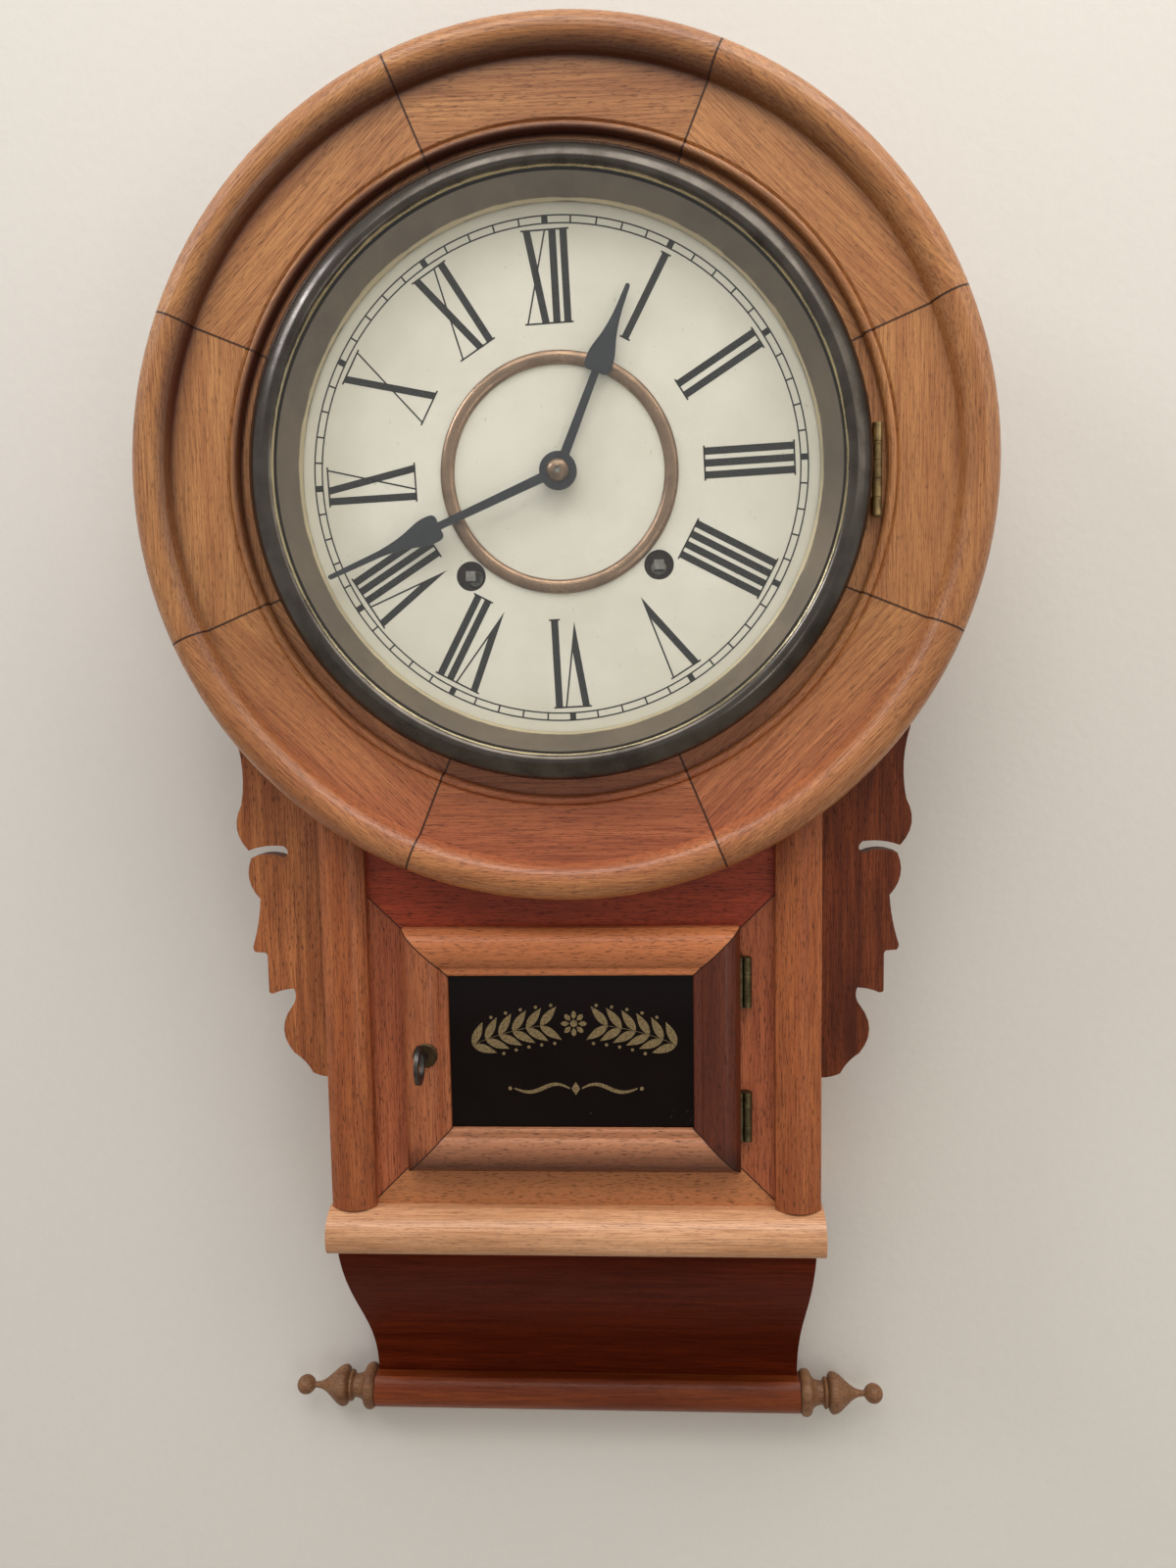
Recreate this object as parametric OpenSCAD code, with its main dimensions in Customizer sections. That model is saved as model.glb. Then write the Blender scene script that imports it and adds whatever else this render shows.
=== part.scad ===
// Round-top drop-case wall regulator clock.
// X runs to the right, Y into the wall, Z up. The hand arbor crosses the wall face at the origin.
// Depths are distances from the wall, so a depth d lies at Y = -d.

/* [Case box] */
// Outer width of the case box
case_w = 249; // [235:1:262]
// Depth of the case box, from the wall to its front edges
case_depth = 80; // [74:1:90]
// Thickness of the side, top and bottom boards
board_t = 10; // [8:0.5:12]
// Thickness of the back board
back_t = 8; // [6:0.5:10]
// Height of the box above the hand arbor
case_top = 140; // [128:1:145]
// Height of the box below the lower edge of the round surround
box_drop = 162; // [156:1:176]

/* [Round surround] */
// Outer radius of the turned wooden surround
ring_r = 203; // [199:1:212]
// Number of glued segments in the surround
ring_segments = 8; // [6:1:12]
// Width of the torus at the outer edge of the surround
torus_w = 19; // [15:0.5:22]
// Height of the torus crest above the flat field
torus_rise = 8; // [5:0.5:10]
// Thickness of the surround at its flat field
field_t = 18; // [16:0.5:22]
// Depth of the ledge, round the bezel, below the field
ledge_drop = 4; // [3:0.5:5]
// Radius of the ledge round the bezel
ledge_r = 152; // [151:0.5:156]
// Width of the bead between the ledge and the field
bead_w = 4.5; // [3.5:0.5:6]
// Radius of the hole through the surround behind the dial
movement_hole_r = 112; // [104:1:118]
// Width of the hairline at each glue joint
joint_line = 0.3; // [0.2:0.1:0.5]

/* [Front frame and pilasters] */
// Thickness of the front frame
frame_t = 10; // [8:0.5:12]
// Width of the opening in the front frame
opening_w = 156; // [150:1:158]
// Distance of the opening's top edge below the round surround
opening_head = 25; // [22:1:29]
// Height of the frame's bottom rail, below the opening
opening_foot = 27; // [24:1:31]
// Width of the pilasters
pilaster_w = 22.5; // [18:0.5:25]
// Height of a pilaster's crest above the front frame
pilaster_rise = 9; // [6:0.5:11]
// Height of a pilaster's side edges above the front frame
pilaster_edge = 4.5; // [2:0.5:6]

/* [Waist and base] */
// Height of the waist moulding
waist_h = 21.5; // [16:0.5:26]
// Overhang of the waist moulding beyond each side of the box
waist_over = 1.5; // [0:0.5:4]
// Height of the moulding's upper edge in front of the box
waist_edge = 5; // [2:0.5:8]
// Height of the moulding's crest in front of the box
waist_rise = 16; // [12:0.5:20]
// Width of the ogee base
base_w = 244; // [230:1:249]
// Height of the ogee base
base_h = 113.5; // [100:0.5:125]
// Depth of the ogee at its upper edge
base_top_depth = 88; // [82:0.5:92]
// Depth of the ogee at its foot
base_foot_depth = 12; // [10:0.5:18]
// Thickness of the ogee board, measured front to back
ogee_t = 18; // [14:0.5:22]
// Thickness of the cheeks behind the ogee board
cheek_t = 9; // [6:0.5:12]
// Radius of the bottom rail
rail_r = 11; // [9:0.5:13]
// Length of the bottom rail
rail_w = 246; // [232:1:250]
// Depth of the flat on the rail where the base seats
rail_flat = 1.5; // [1:0.25:2.5]
// Length of each finial
finial_len = 48; // [40:1:56]
// Largest radius of a finial
finial_r = 12.6; // [10:0.2:14]

/* [Ears] */
// Thickness of the fretted ears
ear_t = 10; // [6:0.5:12]
// Depth of the ears' front face
ear_front = 71; // [60:1:74]
// Drop of the ears' hidden top edge below the hand arbor
ear_top = 96; // [90:1:102]
// Width of the ears
ear_w = 45; // [40:0.5:47]
// Height of the ears
ear_h = 204.8; // [190:0.2:215]

/* [Dial] */
// Radius of the dial plate
dial_r = 128; // [125:0.5:129]
// Thickness of the dial plate
dial_t = 1; // [0.8:0.1:1.4]
// Outer radius of the raised ring round the dial's centre
centre_ring_r = 56; // [52:0.5:60]
// Width of the raised ring
centre_ring_w = 6.6; // [5:0.2:8]
// Height of the raised ring
centre_ring_h = 2.4; // [1.6:0.1:3]
// Radius of the two winding holes
winding_hole_r = 7; // [5:0.25:8]
// How far the movement sits turned in the case, in degrees, anticlockwise from the front
movement_turn = 2.3; // [-4:0.1:4]

/* [Bezel] */
// Outer radius of the bezel
bezel_r = 143.4; // [142.4:0.2:143.8]
// Width of the bezel's moulded rim
bezel_w = 12.4; // [10:0.2:12.6]
// Height of the bezel above the ledge
bezel_h = 18.5; // [17:0.5:21]
// Clearance behind the bezel and the lower door
shut_gap = 0.3; // [0.2:0.1:0.5]
// Radius of the sight ring's inner edge, at the dial
sight_r = 121.4; // [118:0.2:123]
// Thickness of the sheet of the sight ring
sight_t = 1.2; // [0.8:0.1:1.6]
// Thickness of the bezel's glass
bezel_glass_t = 2.6; // [2:0.2:3]
// Length of the bezel's hinge
bezel_hinge_len = 42; // [30:1:54]
// Number of knuckles in the bezel's hinge
bezel_knuckles = 5; // [3:2:7]

/* [Lower door] */
// Width of the lower door
door_w = 169; // [166:0.5:170]
// Distance of the door's top edge below the round surround
door_head = 16.5; // [14:0.5:19]
// Height of the frame left bare below the door
door_foot = 20; // [15:0.5:22]
// Width of the door's mouldings
stile_w = 23.4; // [21:0.2:26]
// Thickness of the door's mouldings at the crest
door_t = 12; // [10:0.5:14]
// Thickness of the door's glass
door_glass_t = 3; // [2:0.2:3.2]
// Length of each of the door's hinges
door_hinge_len = 25.5; // [20:0.5:30]
// Number of knuckles in each of the door's hinges
door_knuckles = 3; // [3:2:5]
// Distance of each hinge from the door's top or bottom edge
door_hinge_in = 15.5; // [10:0.5:20]
// Radius of the hinge knuckles
knuckle_r = 2.3; // [2:0.1:2.6]
// Radius of the hinge pins
hinge_pin_r = 0.9; // [0.7:0.1:1.1]
// Thickness of the hinge leaves
leaf_t = 0.9; // [0.7:0.1:1.1]
// Radius of the lock's round plate
lock_r = 6.2; // [5.6:0.2:7.5]
// Radius of the lock's barrel
lock_barrel_r = 3.6; // [3:0.1:4.4]
// Radius of the key's stem
key_r = 1.6; // [1.2:0.1:2]
// Length of the key in front of the lock
key_reach = 23; // [18:1:28]
// Radius of the key's bow
bow_r = 9.5; // [7:0.5:11]
// Length of the lock's cam
cam_len = 18; // [16:0.5:20]

/* [Hands] */
// Length of the minute hand
minute_len = 119; // [100:1:120]
// Length of the hour hand
hour_len = 89.5; // [70:0.5:95]
// Distance of the minute hand's spade from the arbor
minute_spade = 61; // [50:1:70]
// Distance of the hour hand's spade from the arbor
hour_spade = 48; // [40:1:55]
// Half the width of the spades
spade_half = 6.4; // [5:0.2:7]
// Thickness of the hands
hand_t = 0.9; // [0.6:0.1:1.2]
// Direction of the hour hand, clockwise from twelve, in degrees
hour_angle = 22.1; // [0:0.1:360]
// Direction of the minute hand, clockwise from twelve, in degrees
minute_angle = 246.7; // [0:0.1:360]
// Radius of the round boss of each hand
hand_boss_r = 8.7; // [7:0.1:9.4]
// Radius of the domed nut that holds the hands
nut_r = 5.3; // [4.5:0.1:6]

/* [Movement] */
// Width of the movement's plates
plate_w = 128; // [122:1:140]
// Height of the plates above the hand arbor
plate_up = 66; // [62:1:76]
// Drop of the plates below the hand arbor
plate_down = 72; // [68:1:84]
// Thickness of the plates
plate_t = 2; // [1.6:0.2:2.6]
// Depth of the back plate's rear face
plate_back = 36; // [34:0.5:38]
// Distance between the plates
plate_gap = 36; // [36:0.5:40]
// Radius of the movement's pillars
pillar_r = 4; // [3.4:0.2:5]
// Distance of the winding arbors from the upright through the hand arbor
winding_x = 44.6; // [44:0.2:46]
// Drop of the winding arbors below the hand arbor
winding_drop = 45.2; // [44.6:0.2:46.6]
// Width across the winding squares
winding_square = 4.6; // [4:0.2:5.2]
// Thickness of the wheels
wheel_t = 1.6; // [1.2:0.1:2]
// Radius of the mainsprings as wound
mainspring_r = 26; // [20:0.5:28]
// Width of the mainsprings
mainspring_w = 12; // [9:0.5:13]
// Thickness of the mainsprings' band
mainspring_t = 1; // [0.6:0.1:1.4]

/* [Pendulum and strike] */
// Length from the suspension to the centre of the bob
pendulum_len = 307; // [296:1:312]
// Radius of the pendulum bob
bob_r = 31; // [26:0.5:34]
// Thickness of the pendulum bob
bob_t = 11; // [8:0.5:13]
// Radius of the pendulum rod
rod_r = 1.3; // [1:0.1:1.6]
// Depth of the pendulum's plane
pendulum_depth = 25; // [23:0.5:27]
// Radius of the gong's outer turn
gong_r = 38; // [30:1:42]
// Thickness of the gong's wire
gong_wire = 2.6; // [2:0.2:3]
// Turns of the gong
gong_turns = 4; // [3:1:4]
// Drop of the gong's centre below the hand arbor
gong_drop = 160; // [150:1:175]

/* [Hanging] */
// Height of the hanging hole above the hand arbor
hanger_up = 103; // [92:1:106]
// Height of the hanging plate
hanger_h = 46; // [42:1:50]
// Width of the hanging plate
hanger_w = 34; // [26:1:44]
// Radius of the hanging hole
hanger_hole_r = 4.5; // [4:0.25:5.5]
// Half the width of the slot above the hanging hole
hanger_slot_r = 2.2; // [1.6:0.1:2.4]
// Thickness of the hanging plate
hanger_t = 2; // [1.5:0.1:2.5]

/* [Hidden] */
$fn = 72;

// Clearances shared by all the pieces
seat_gap = 0.05;
run_gap = 0.05;
free_gap = 0.3;
knuckle_gap = 0.1;

// Case box
half_w = case_w / 2;
inner_half = half_w - board_t;
case_drop = ring_r + box_drop;
case_bottom = -case_drop;

// Surround
field_d = case_depth + field_t;
torus_mid_r = ring_r - torus_w / 2;
torus_base = 2;
ledge_d = field_d - ledge_drop;
dial_seat_d = ledge_d - dial_t;
dial_edge_gap = 0.5;
screw_r = 1.1;
screw_head_r = 1.9;
dial_screw_r = dial_r - 3;
dial_screws = [45 : 90 : 315];
hanger_slot = hanger_hole_r + 3.5;
hanger_screws = [-0.5, 0.5] * (hanger_h - 9);
ring_side_d = case_depth + 4;

// Bezel
bezel_back = ledge_d + shut_gap;
bezel_front = bezel_back + bezel_h;
bezel_in_r = bezel_r - bezel_w;
glass_lip = 1.6;
bezel_seat_r = bezel_in_r + glass_lip;
inner_bead_r = 2.7;
bezel_glass_front = bezel_front - inner_bead_r;
bezel_glass_back = bezel_glass_front - bezel_glass_t;
bezel_hinge_x = bezel_r + leaf_t + free_gap + knuckle_r;
bezel_hinge_d = ledge_d + leaf_t + free_gap + knuckle_r;
bezel_hinge_z = -2.5;
bezel_leaf_edge = sqrt(pow(ledge_r, 2) - pow(bezel_hinge_len / 2 - bezel_hinge_z, 2)) - free_gap;

// Front frame
frame_back = case_depth - frame_t;
open_half = opening_w / 2;
opening_top = ring_r + opening_head;
opening_bottom = case_drop - opening_foot;
mitre_top = -opening_top + (inner_half - open_half);
mitre_foot_x = open_half + opening_foot;
frame_top = -sqrt(pow(ring_r - torus_w, 2) - pow(inner_half, 2)) + board_t;

// Waist and base
waist_half = half_w + waist_over;
waist_bottom = case_bottom - waist_h;
base_bottom = waist_bottom - base_h;
base_half = base_w / 2;
rail_half = rail_w / 2;
rail_z = base_bottom - rail_r + rail_flat;
rail_d = base_foot_depth + 1;

// Lower door
door_half = door_w / 2;
door_top = ring_r + door_head;
door_bottom = case_drop - door_foot;
door_back = case_depth + shut_gap;
door_front = door_back + door_t;
door_mid_z = -(door_top + door_bottom) / 2;
door_glass_d = door_back + 2;
door_hinge_x = door_half + leaf_t + free_gap + knuckle_r;
door_leaf_w = 8.5;
rebate = 3;
bezel_strap_w = 7;
door_hinge_d = case_depth + knuckle_r + free_gap;
door_hinge_z = [-door_top - door_hinge_in - door_hinge_len / 2,
    -door_bottom + door_hinge_in + door_hinge_len / 2];
lock_x = -(door_half - stile_w / 2 - 0.2);
lock_z = door_mid_z;
lock_front = door_front + 0.6;
bow_t = 2;
bow_ring = 3.2;
cam_t = 2.4;
cam_half = 3;
cam_d = frame_back - free_gap - cam_t;

// Hands
hand_arm = 2.2;
hand_tip = 1.1;
hour_pipe_r = 4;
cannon_r = 2.6;
centre_arbor_r = 1.5;
ring_top_d = ledge_d + centre_ring_h;
hour_hand_d = ring_top_d + 2.2;
minute_hand_d = hour_hand_d + hand_t + 1.6;
nut_d = minute_hand_d + hand_t;

// Movement: plates, arbors and wheels
plate_back_in = plate_back + plate_t;
plate_front_in = plate_back_in + plate_gap;
plate_front = plate_front_in + plate_t;
pivot_r = 1.2;
arbor_r = 1.6;
winding_r = 3.4;
hub_r = winding_r - 0.4;
ratchet_teeth = 16;
ratchet_r = 9;
great_teeth = 68;
great_mod = 1;
second_teeth = 64;
second_mod = 0.8;
centre_teeth = 72;
centre_mod = 0.6;
third_teeth = 72;
third_mod = 0.5;
pinion_teeth = 8;
escape_teeth = 40;
escape_r = 15;
motion_mod = 0.7;
cannon_teeth = 12;
minute_teeth = 36;
minute_pinion_teeth = 10;
hour_teeth = 40;

time_arbor = [winding_x, -winding_drop];
strike_arbor = [-winding_x, -winding_drop];
escape_arbor = [0, 32];
anchor_arbor = [0, 53];
second_arbor = meet(time_arbor, [0, 0], mesh_at(great_teeth, pinion_teeth, great_mod),
    mesh_at(second_teeth, pinion_teeth, second_mod), -1);
third_arbor = meet([0, 0], escape_arbor, mesh_at(centre_teeth, pinion_teeth, centre_mod),
    mesh_at(third_teeth, pinion_teeth, third_mod), -1);
minute_arbor = [0, mesh_at(cannon_teeth, minute_teeth, motion_mod)];
hammer_arbor = [-winding_x - 3.5, -8];
plate_top = 0.6 * plate_w;
plate_shoulder = 0.25 * plate_down;
pillar_end_r = pillar_r - 1.5;
pillar_places = [for (s = [-1, 1]) each [[s * 10, -plate_down + 5],
    [s * (plate_top / 2 - 6), plate_up - 6]]];
foot_places = [for (s = [-1, 1]) each [[s * (plate_w / 2 - 7), -plate_shoulder - 6],
    [s * (plate_top / 2 - 14), plate_up - 6]]];

great_d = plate_front_in - 12;
spring_d = plate_back_in + 2;
second_d = spring_d + mainspring_w + 2;
centre_d = plate_front_in - 7;
third_d = plate_back_in + 4;
escape_d = plate_back_in + 9;
cannon_d = plate_front + 1.2;
hour_wheel_d = cannon_d + wheel_t + 2;
suspension_z = turned_at(anchor_arbor)[1];
suspension_x = turned_at(anchor_arbor)[0];
bob_z = suspension_z - pendulum_len;
bridge_t = 1.6;
cock_half = 5;
cock_foot = 6;
bridge_d = plate_back - 7;
crutch_d = bridge_d + bridge_t + 1;
crutch_len = 42;
pallet_x = 11.8;
pallet_drop = 8.2;
anchor_rise = 9.5;
crutch_half = rod_r + free_gap + 2;
gong_d = back_t + 7;
gong_post_r = 8;
spring_half = 2.5;
spring_len = 10;
rating_h = 4;
bob_rim = 2 * rod_r + 1.6;
nut_z = bob_z - bob_r - free_gap - rating_h;
rod_bottom = nut_z - 4;
hammer_d = plate_back - 4;
hammer_x = turned_at(hammer_arbor)[0];
hammer_z = -gong_drop + 8;

// Sum of the pitch radii of two wheels in mesh
function mesh_at(a, b, m) = (a + b) * m / 2;

// Point at distance ra from a and rb from b, on the side that s chooses
function meet(a, b, ra, rb, s) =
    let (v = b - a, l = norm(v), u = v / l, k = (ra * ra - rb * rb + l * l) / (2 * l))
    a + k * u + s * sqrt(ra * ra - k * k) * [-u[1], u[0]];

// Place of a point of the movement after it is turned in the case
function turned_at(p) = let (c = cos(movement_turn), s = sin(movement_turn))
    [p[0] * c - p[1] * s, p[0] * s + p[1] * c];

// Bearing from one arbor to another after the turn
function bearing(a, b) = let (v = turned_at(b) - turned_at(a)) atan2(v[1], v[0]);

// Bowed line from a to b, s is its rise to the left of the way it runs; b itself is left out
function bow(a, b, s, n = 6) = let (v = b - a, u = [-v[1], v[0]] / norm(v))
    [for (i = [0 : n - 1]) let (t = i / n) a + t * v + 4 * s * t * (1 - t) * u];

// Cubic curve through four control points
function curve(a, b, c, d, n = 10) = [for (i = [0 : n]) let (t = i / n, w = 1 - t)
    w * w * w * a + 3 * w * w * t * b + 3 * w * t * t * c + t * t * t * d];

// Arc of an ellipse from angle p to angle q
function arc(centre, rx, ry, p, q, n = 10) = [for (i = [0 : n]) let (t = p + (q - p) * i / n)
    centre + [rx * cos(t), ry * sin(t)]];

// Outline of a flat spiral band of width w, from its outer radius in to the inner one
function spiral(outer, inner, turns, w) = let (steps = 24 * turns, pitch = (outer - inner - w) / turns)
    [for (side = [0, 1]) for (k = [0 : steps]) let (i = side == 0 ? k : steps - k)
        (outer - side * w - pitch * i / 24) * [cos(15 * i + 90), sin(15 * i + 90)]];

// A flat shape in X and Z, made solid between two depths
module between(d0, d1) translate([0, -d0, 0]) rotate([90, 0, 0]) linear_extrude(d1 - d0) children();

// A profile of radius and depth, turned about the Y axis
module turned() rotate([90, 0, 0]) rotate_extrude() children();

// A round bar along Y between two depths
module bar(r, d0, d1) translate([0, -d0, 0]) rotate([90, 0, 0]) cylinder(r = r, h = d1 - d0);

// Moves a piece to an arbor of the movement, in its turned place
module at(p) translate([turned_at(p)[0], 0, turned_at(p)[1]]) children();

// A profile of depth and height, drawn along X over a half-length to each side
module along_x(half) translate([-half, 0, 0]) rotate([90, 0, 90]) linear_extrude(2 * half)
    mirror([1, 0]) children();

// Case box

module back_board() color("saddlebrown") difference() {
    between(0, back_t) polygon([[-inner_half, case_bottom + board_t],
        [inner_half, case_bottom + board_t], [inner_half, case_top - board_t],
        [-inner_half, case_top - board_t]]);
    hanger_recess();
    for (z = hanger_screws) translate([0, 0, hanger_up + z])
        bar(screw_r + seat_gap, 0, back_t + 1);
}

// Seat of the hanging plate, and the room behind its keyhole for the head of a wall screw
module hanger_recess() translate([0, 0, hanger_up]) {
    head_r = hanger_hole_r + 1;
    between(-1, hanger_t) hanger_outline(0);
    for (z = [0, hanger_slot]) translate([0, 0, z]) bar(head_r, hanger_t - 1, back_t + 1);
    between(hanger_t - 1, back_t + 1) translate([-head_r, 0]) square([2 * head_r, hanger_slot]);
}

module side_board() translate([inner_half, 0, case_bottom])
    mirror([0, 1, 0]) cube([board_t, case_depth, case_top - case_bottom]);

module left_side_board() color("sienna") mirror([1, 0, 0]) side_board();

module right_side_board() color("sienna") side_board();

module top_board() color("sienna") translate([-inner_half, -case_depth, case_top - board_t])
    cube([2 * inner_half, case_depth, board_t]);

module bottom_board() color("sienna") translate([-inner_half, -frame_back, case_bottom])
    cube([2 * inner_half, frame_back, board_t]);

// Front frame, mitred at 45 degrees, with a deep top rail that runs up behind the surround

module front_frame() color("chocolate") difference() {
    between(frame_back, case_depth) frame_members();
    for (z = door_hinge_z) translate([0, -0.01, 0]) hinge_mortise(z, seat_gap);
}

module frame_members() {
    polygon([[-inner_half, frame_top], [-inner_half, mitre_top + joint_line],
        [-open_half, -opening_top + joint_line], [open_half, -opening_top + joint_line],
        [inner_half, mitre_top + joint_line], [inner_half, frame_top]]);
    polygon([[-mitre_foot_x + joint_line, case_bottom], [mitre_foot_x - joint_line, case_bottom],
        [open_half - joint_line, -opening_bottom], [-open_half + joint_line, -opening_bottom]]);
    for (side = [-1, 1]) scale([side, 1]) polygon([[open_half, -opening_top],
        [inner_half, mitre_top], [inner_half, case_bottom], [mitre_foot_x, case_bottom],
        [open_half, -opening_bottom]]);
}

// Pilasters, scribed to the rim of the surround

module pilaster() difference() {
    translate([half_w - pilaster_w, 0, case_bottom]) linear_extrude(-case_bottom)
        polygon(concat([[pilaster_w, -case_depth], [0, -case_depth],
            [0, -case_depth - pilaster_edge]], bow([0, -case_depth - pilaster_edge],
            [pilaster_w, -case_depth - pilaster_edge], pilaster_edge - pilaster_rise, 10),
            [[pilaster_w, -case_depth - pilaster_edge]]));
    bar(ring_r + seat_gap, case_depth - 1, case_depth + pilaster_rise + 1);
}

module left_pilaster() color("peru") mirror([1, 0, 0]) pilaster();

module right_pilaster() color("peru") pilaster();

// Waist moulding and ogee base

module waist_moulding() color("peru") along_x(waist_half)
    polygon(concat([[0, waist_bottom], [0, case_bottom]],
        curve([case_depth + waist_edge, case_bottom],
            [case_depth + waist_edge + 6, case_bottom - 0.1 * waist_h],
            [case_depth + waist_rise, case_bottom - 0.25 * waist_h],
            [case_depth + waist_rise, case_bottom - 0.55 * waist_h]),
        curve([case_depth + waist_rise, case_bottom - 0.6 * waist_h],
            [case_depth + waist_rise, case_bottom - 0.8 * waist_h],
            [case_depth + waist_rise - 1, case_bottom - 0.95 * waist_h],
            [case_depth + waist_rise - 5, waist_bottom], 6)));

// Outer line of the ogee: round above, hollow below
ogee_line = curve([base_top_depth, waist_bottom],
    [base_top_depth - 14, waist_bottom - 0.35 * base_h],
    [base_foot_depth, base_bottom + 0.3 * base_h], [base_foot_depth, base_bottom], 24);

module base_front() color("maroon") along_x(base_half)
    polygon(concat(ogee_line, [for (i = [len(ogee_line) - 1 : -1 : 0])
        [max(ogee_line[i][0] - ogee_t, 0), ogee_line[i][1]]]));

module base_cheeks() color("maroon") for (side = [-1, 1])
    translate([side * (base_half - cheek_t / 2), 0, 0]) along_x(cheek_t / 2)
        polygon(concat([[0, waist_bottom]], [for (p = ogee_line) if (p[0] > ogee_t + 1)
            [p[0] - ogee_t, p[1]]], [[0, min([for (p = ogee_line) if (p[0] > ogee_t + 1) p[1]])]]));

module bottom_rail() color("sienna") difference() {
    translate([-rail_half, -rail_d, rail_z]) rotate([0, 90, 0]) cylinder(r = rail_r, h = rail_w);
    translate([-rail_half - 1, -rail_d - rail_r - 1, base_bottom])
        cube([rail_w + 2, 2 * rail_r + 2, rail_r]);
}

// Turned finial: flange, cove, bead, vase, thin neck and ball
module finial() translate([rail_half, -rail_d, rail_z]) rotate([0, 90, 0]) rotate_extrude()
    polygon(concat([[0, 0], [0.6 * finial_r, 0]],
        arc([finial_r - 3, 0.075 * finial_len], 3, 0.07 * finial_len, -80, 80, 8),
        curve([finial_r - 3.4, 0.15 * finial_len], [0.56 * finial_r, 0.17 * finial_len],
            [0.5 * finial_r, 0.22 * finial_len], [0.5 * finial_r, 0.28 * finial_len], 6),
        arc([0.55 * finial_r, 0.315 * finial_len], 1.6, 0.025 * finial_len, -80, 80, 6),
        curve([0.66 * finial_r, 0.35 * finial_len], [0.9 * finial_r, 0.36 * finial_len],
            [0.92 * finial_r, 0.4 * finial_len], [0.86 * finial_r, 0.44 * finial_len], 8),
        curve([0.78 * finial_r, 0.48 * finial_len], [0.4 * finial_r, 0.6 * finial_len],
            [0.13 * finial_r, 0.66 * finial_len], [0.13 * finial_r, 0.77 * finial_len], 10),
        arc([0, finial_len - 0.43 * finial_r], 0.43 * finial_r, 0.43 * finial_r, -68, 90, 12)));

module left_finial() color("tan") mirror([1, 0, 0]) finial();

module right_finial() color("tan") finial();

// Ears, fretted from board. Each corner is a share of the ear's width and of its height, measured
// from the side of the case and down from the hidden top edge. The third figure is the bow of the edge
// that runs on from it, as a share of the width.
function ear_line() = let (corners = [[0.978, 0, 0], [1, 0.127, -0.051], [0.962, 0.303, 0.093],
    [0.9, 0.417, -0.027], [0.489, 0.407, -0.049], [0.502, 0.436, 0.04], [0.873, 0.436, 0.076],
    [0.789, 0.54, -0.018], [0.896, 0.662, 0.007], [0.873, 0.676, 0], [0.76, 0.678, -0.009],
    [0.733, 0.689, 0], [0.733, 0.779, 0.009], [0.678, 0.783, -0.013], [0.44, 0.771, -0.027],
    [0.467, 0.815, 0.111], [0.467, 0.9375, -0.022], [0.256, 0.989, 0.018], [0, 1, 0]],
    p = [for (c = corners) [ear_w * c[0], -ear_top - ear_h * c[1]]])
    concat([[0, -ear_top]], [for (i = [0 : len(p) - 2])
        each bow(p[i], p[i + 1], ear_w * corners[i][2], corners[i][2] == 0 ? 1 : 6)], [p[len(p) - 1]]);

module ear() translate([half_w, 0, 0]) between(ear_front - ear_t, ear_front) polygon(ear_line());

module left_ear() color("brown") mirror([1, 0, 0]) ear();

module right_ear() color("brown") ear();

// Surround: eight glued segments, turned to one profile of radius and depth
surround_profile = concat(
    [[movement_hole_r, case_depth], [ring_r - 2, case_depth], [ring_r, ring_side_d]],
    arc([torus_mid_r, field_d - torus_base], torus_w / 2, torus_rise + torus_base, 0, 165, 14),
    [[ring_r - torus_w, field_d], [ledge_r + bead_w + 1, field_d], [ledge_r + bead_w, field_d - 1]],
    arc([ledge_r + bead_w / 2, field_d - 1.6], bead_w / 2, bead_w / 2, 10, 180, 8),
    [[ledge_r, ledge_d], [dial_r + dial_edge_gap, ledge_d], [dial_r + dial_edge_gap, dial_seat_d],
    [movement_hole_r, dial_seat_d]]);

module surround() color("peru") difference() {
    step = 360 / ring_segments;
    line = joint_line / ring_r * 90 / PI;
    for (i = [0 : ring_segments - 1]) rotate([90, 0, 0])
        rotate_extrude(angle = step - 2 * line, start = (i + 0.5) * step + line)
            polygon(surround_profile);
    dial_screw_holes(dial_seat_d - 6, dial_seat_d + 1);
}

// Hanging plate let into the back board, with a keyhole

module hanger_outline(gap) square([hanger_w + gap, hanger_h + gap], center = true);

module hanger_plate() color("goldenrod") translate([0, 0, hanger_up]) difference() {
    between(0, hanger_t - seat_gap) hanger_outline(-2 * seat_gap);
    bar(hanger_hole_r, -1, hanger_t + 1);
    between(-1, hanger_t + 1) translate([-hanger_slot_r, 0])
        square([2 * hanger_slot_r, hanger_slot]);
    translate([0, 0, hanger_slot]) bar(hanger_slot_r, -1, hanger_t + 1);
    for (z = hanger_screws) translate([0, 0, z]) bar(screw_r + seat_gap, -1, hanger_t + 1);
}

// Small wood screws: two in the hanging plate and four round the dial

module wood_screws() color("gold") {
    for (z = hanger_screws) translate([0, 0, hanger_up + z]) bar(screw_r, 0.2, back_t - 1);
    for (a = dial_screws) translate([dial_screw_r * cos(a), 0, dial_screw_r * sin(a)]) {
        bar(screw_r, dial_seat_d - 5, ledge_d);
        turned() polygon(concat([[0, ledge_d]], arc([0, ledge_d], screw_head_r, 0.7, 0, 90, 4)));
    }
}

module dial_screw_holes(d0, d1) for (a = dial_screws)
    translate([dial_screw_r * cos(a), 0, dial_screw_r * sin(a)]) bar(screw_r + seat_gap, d0, d1);

// Dial

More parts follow.
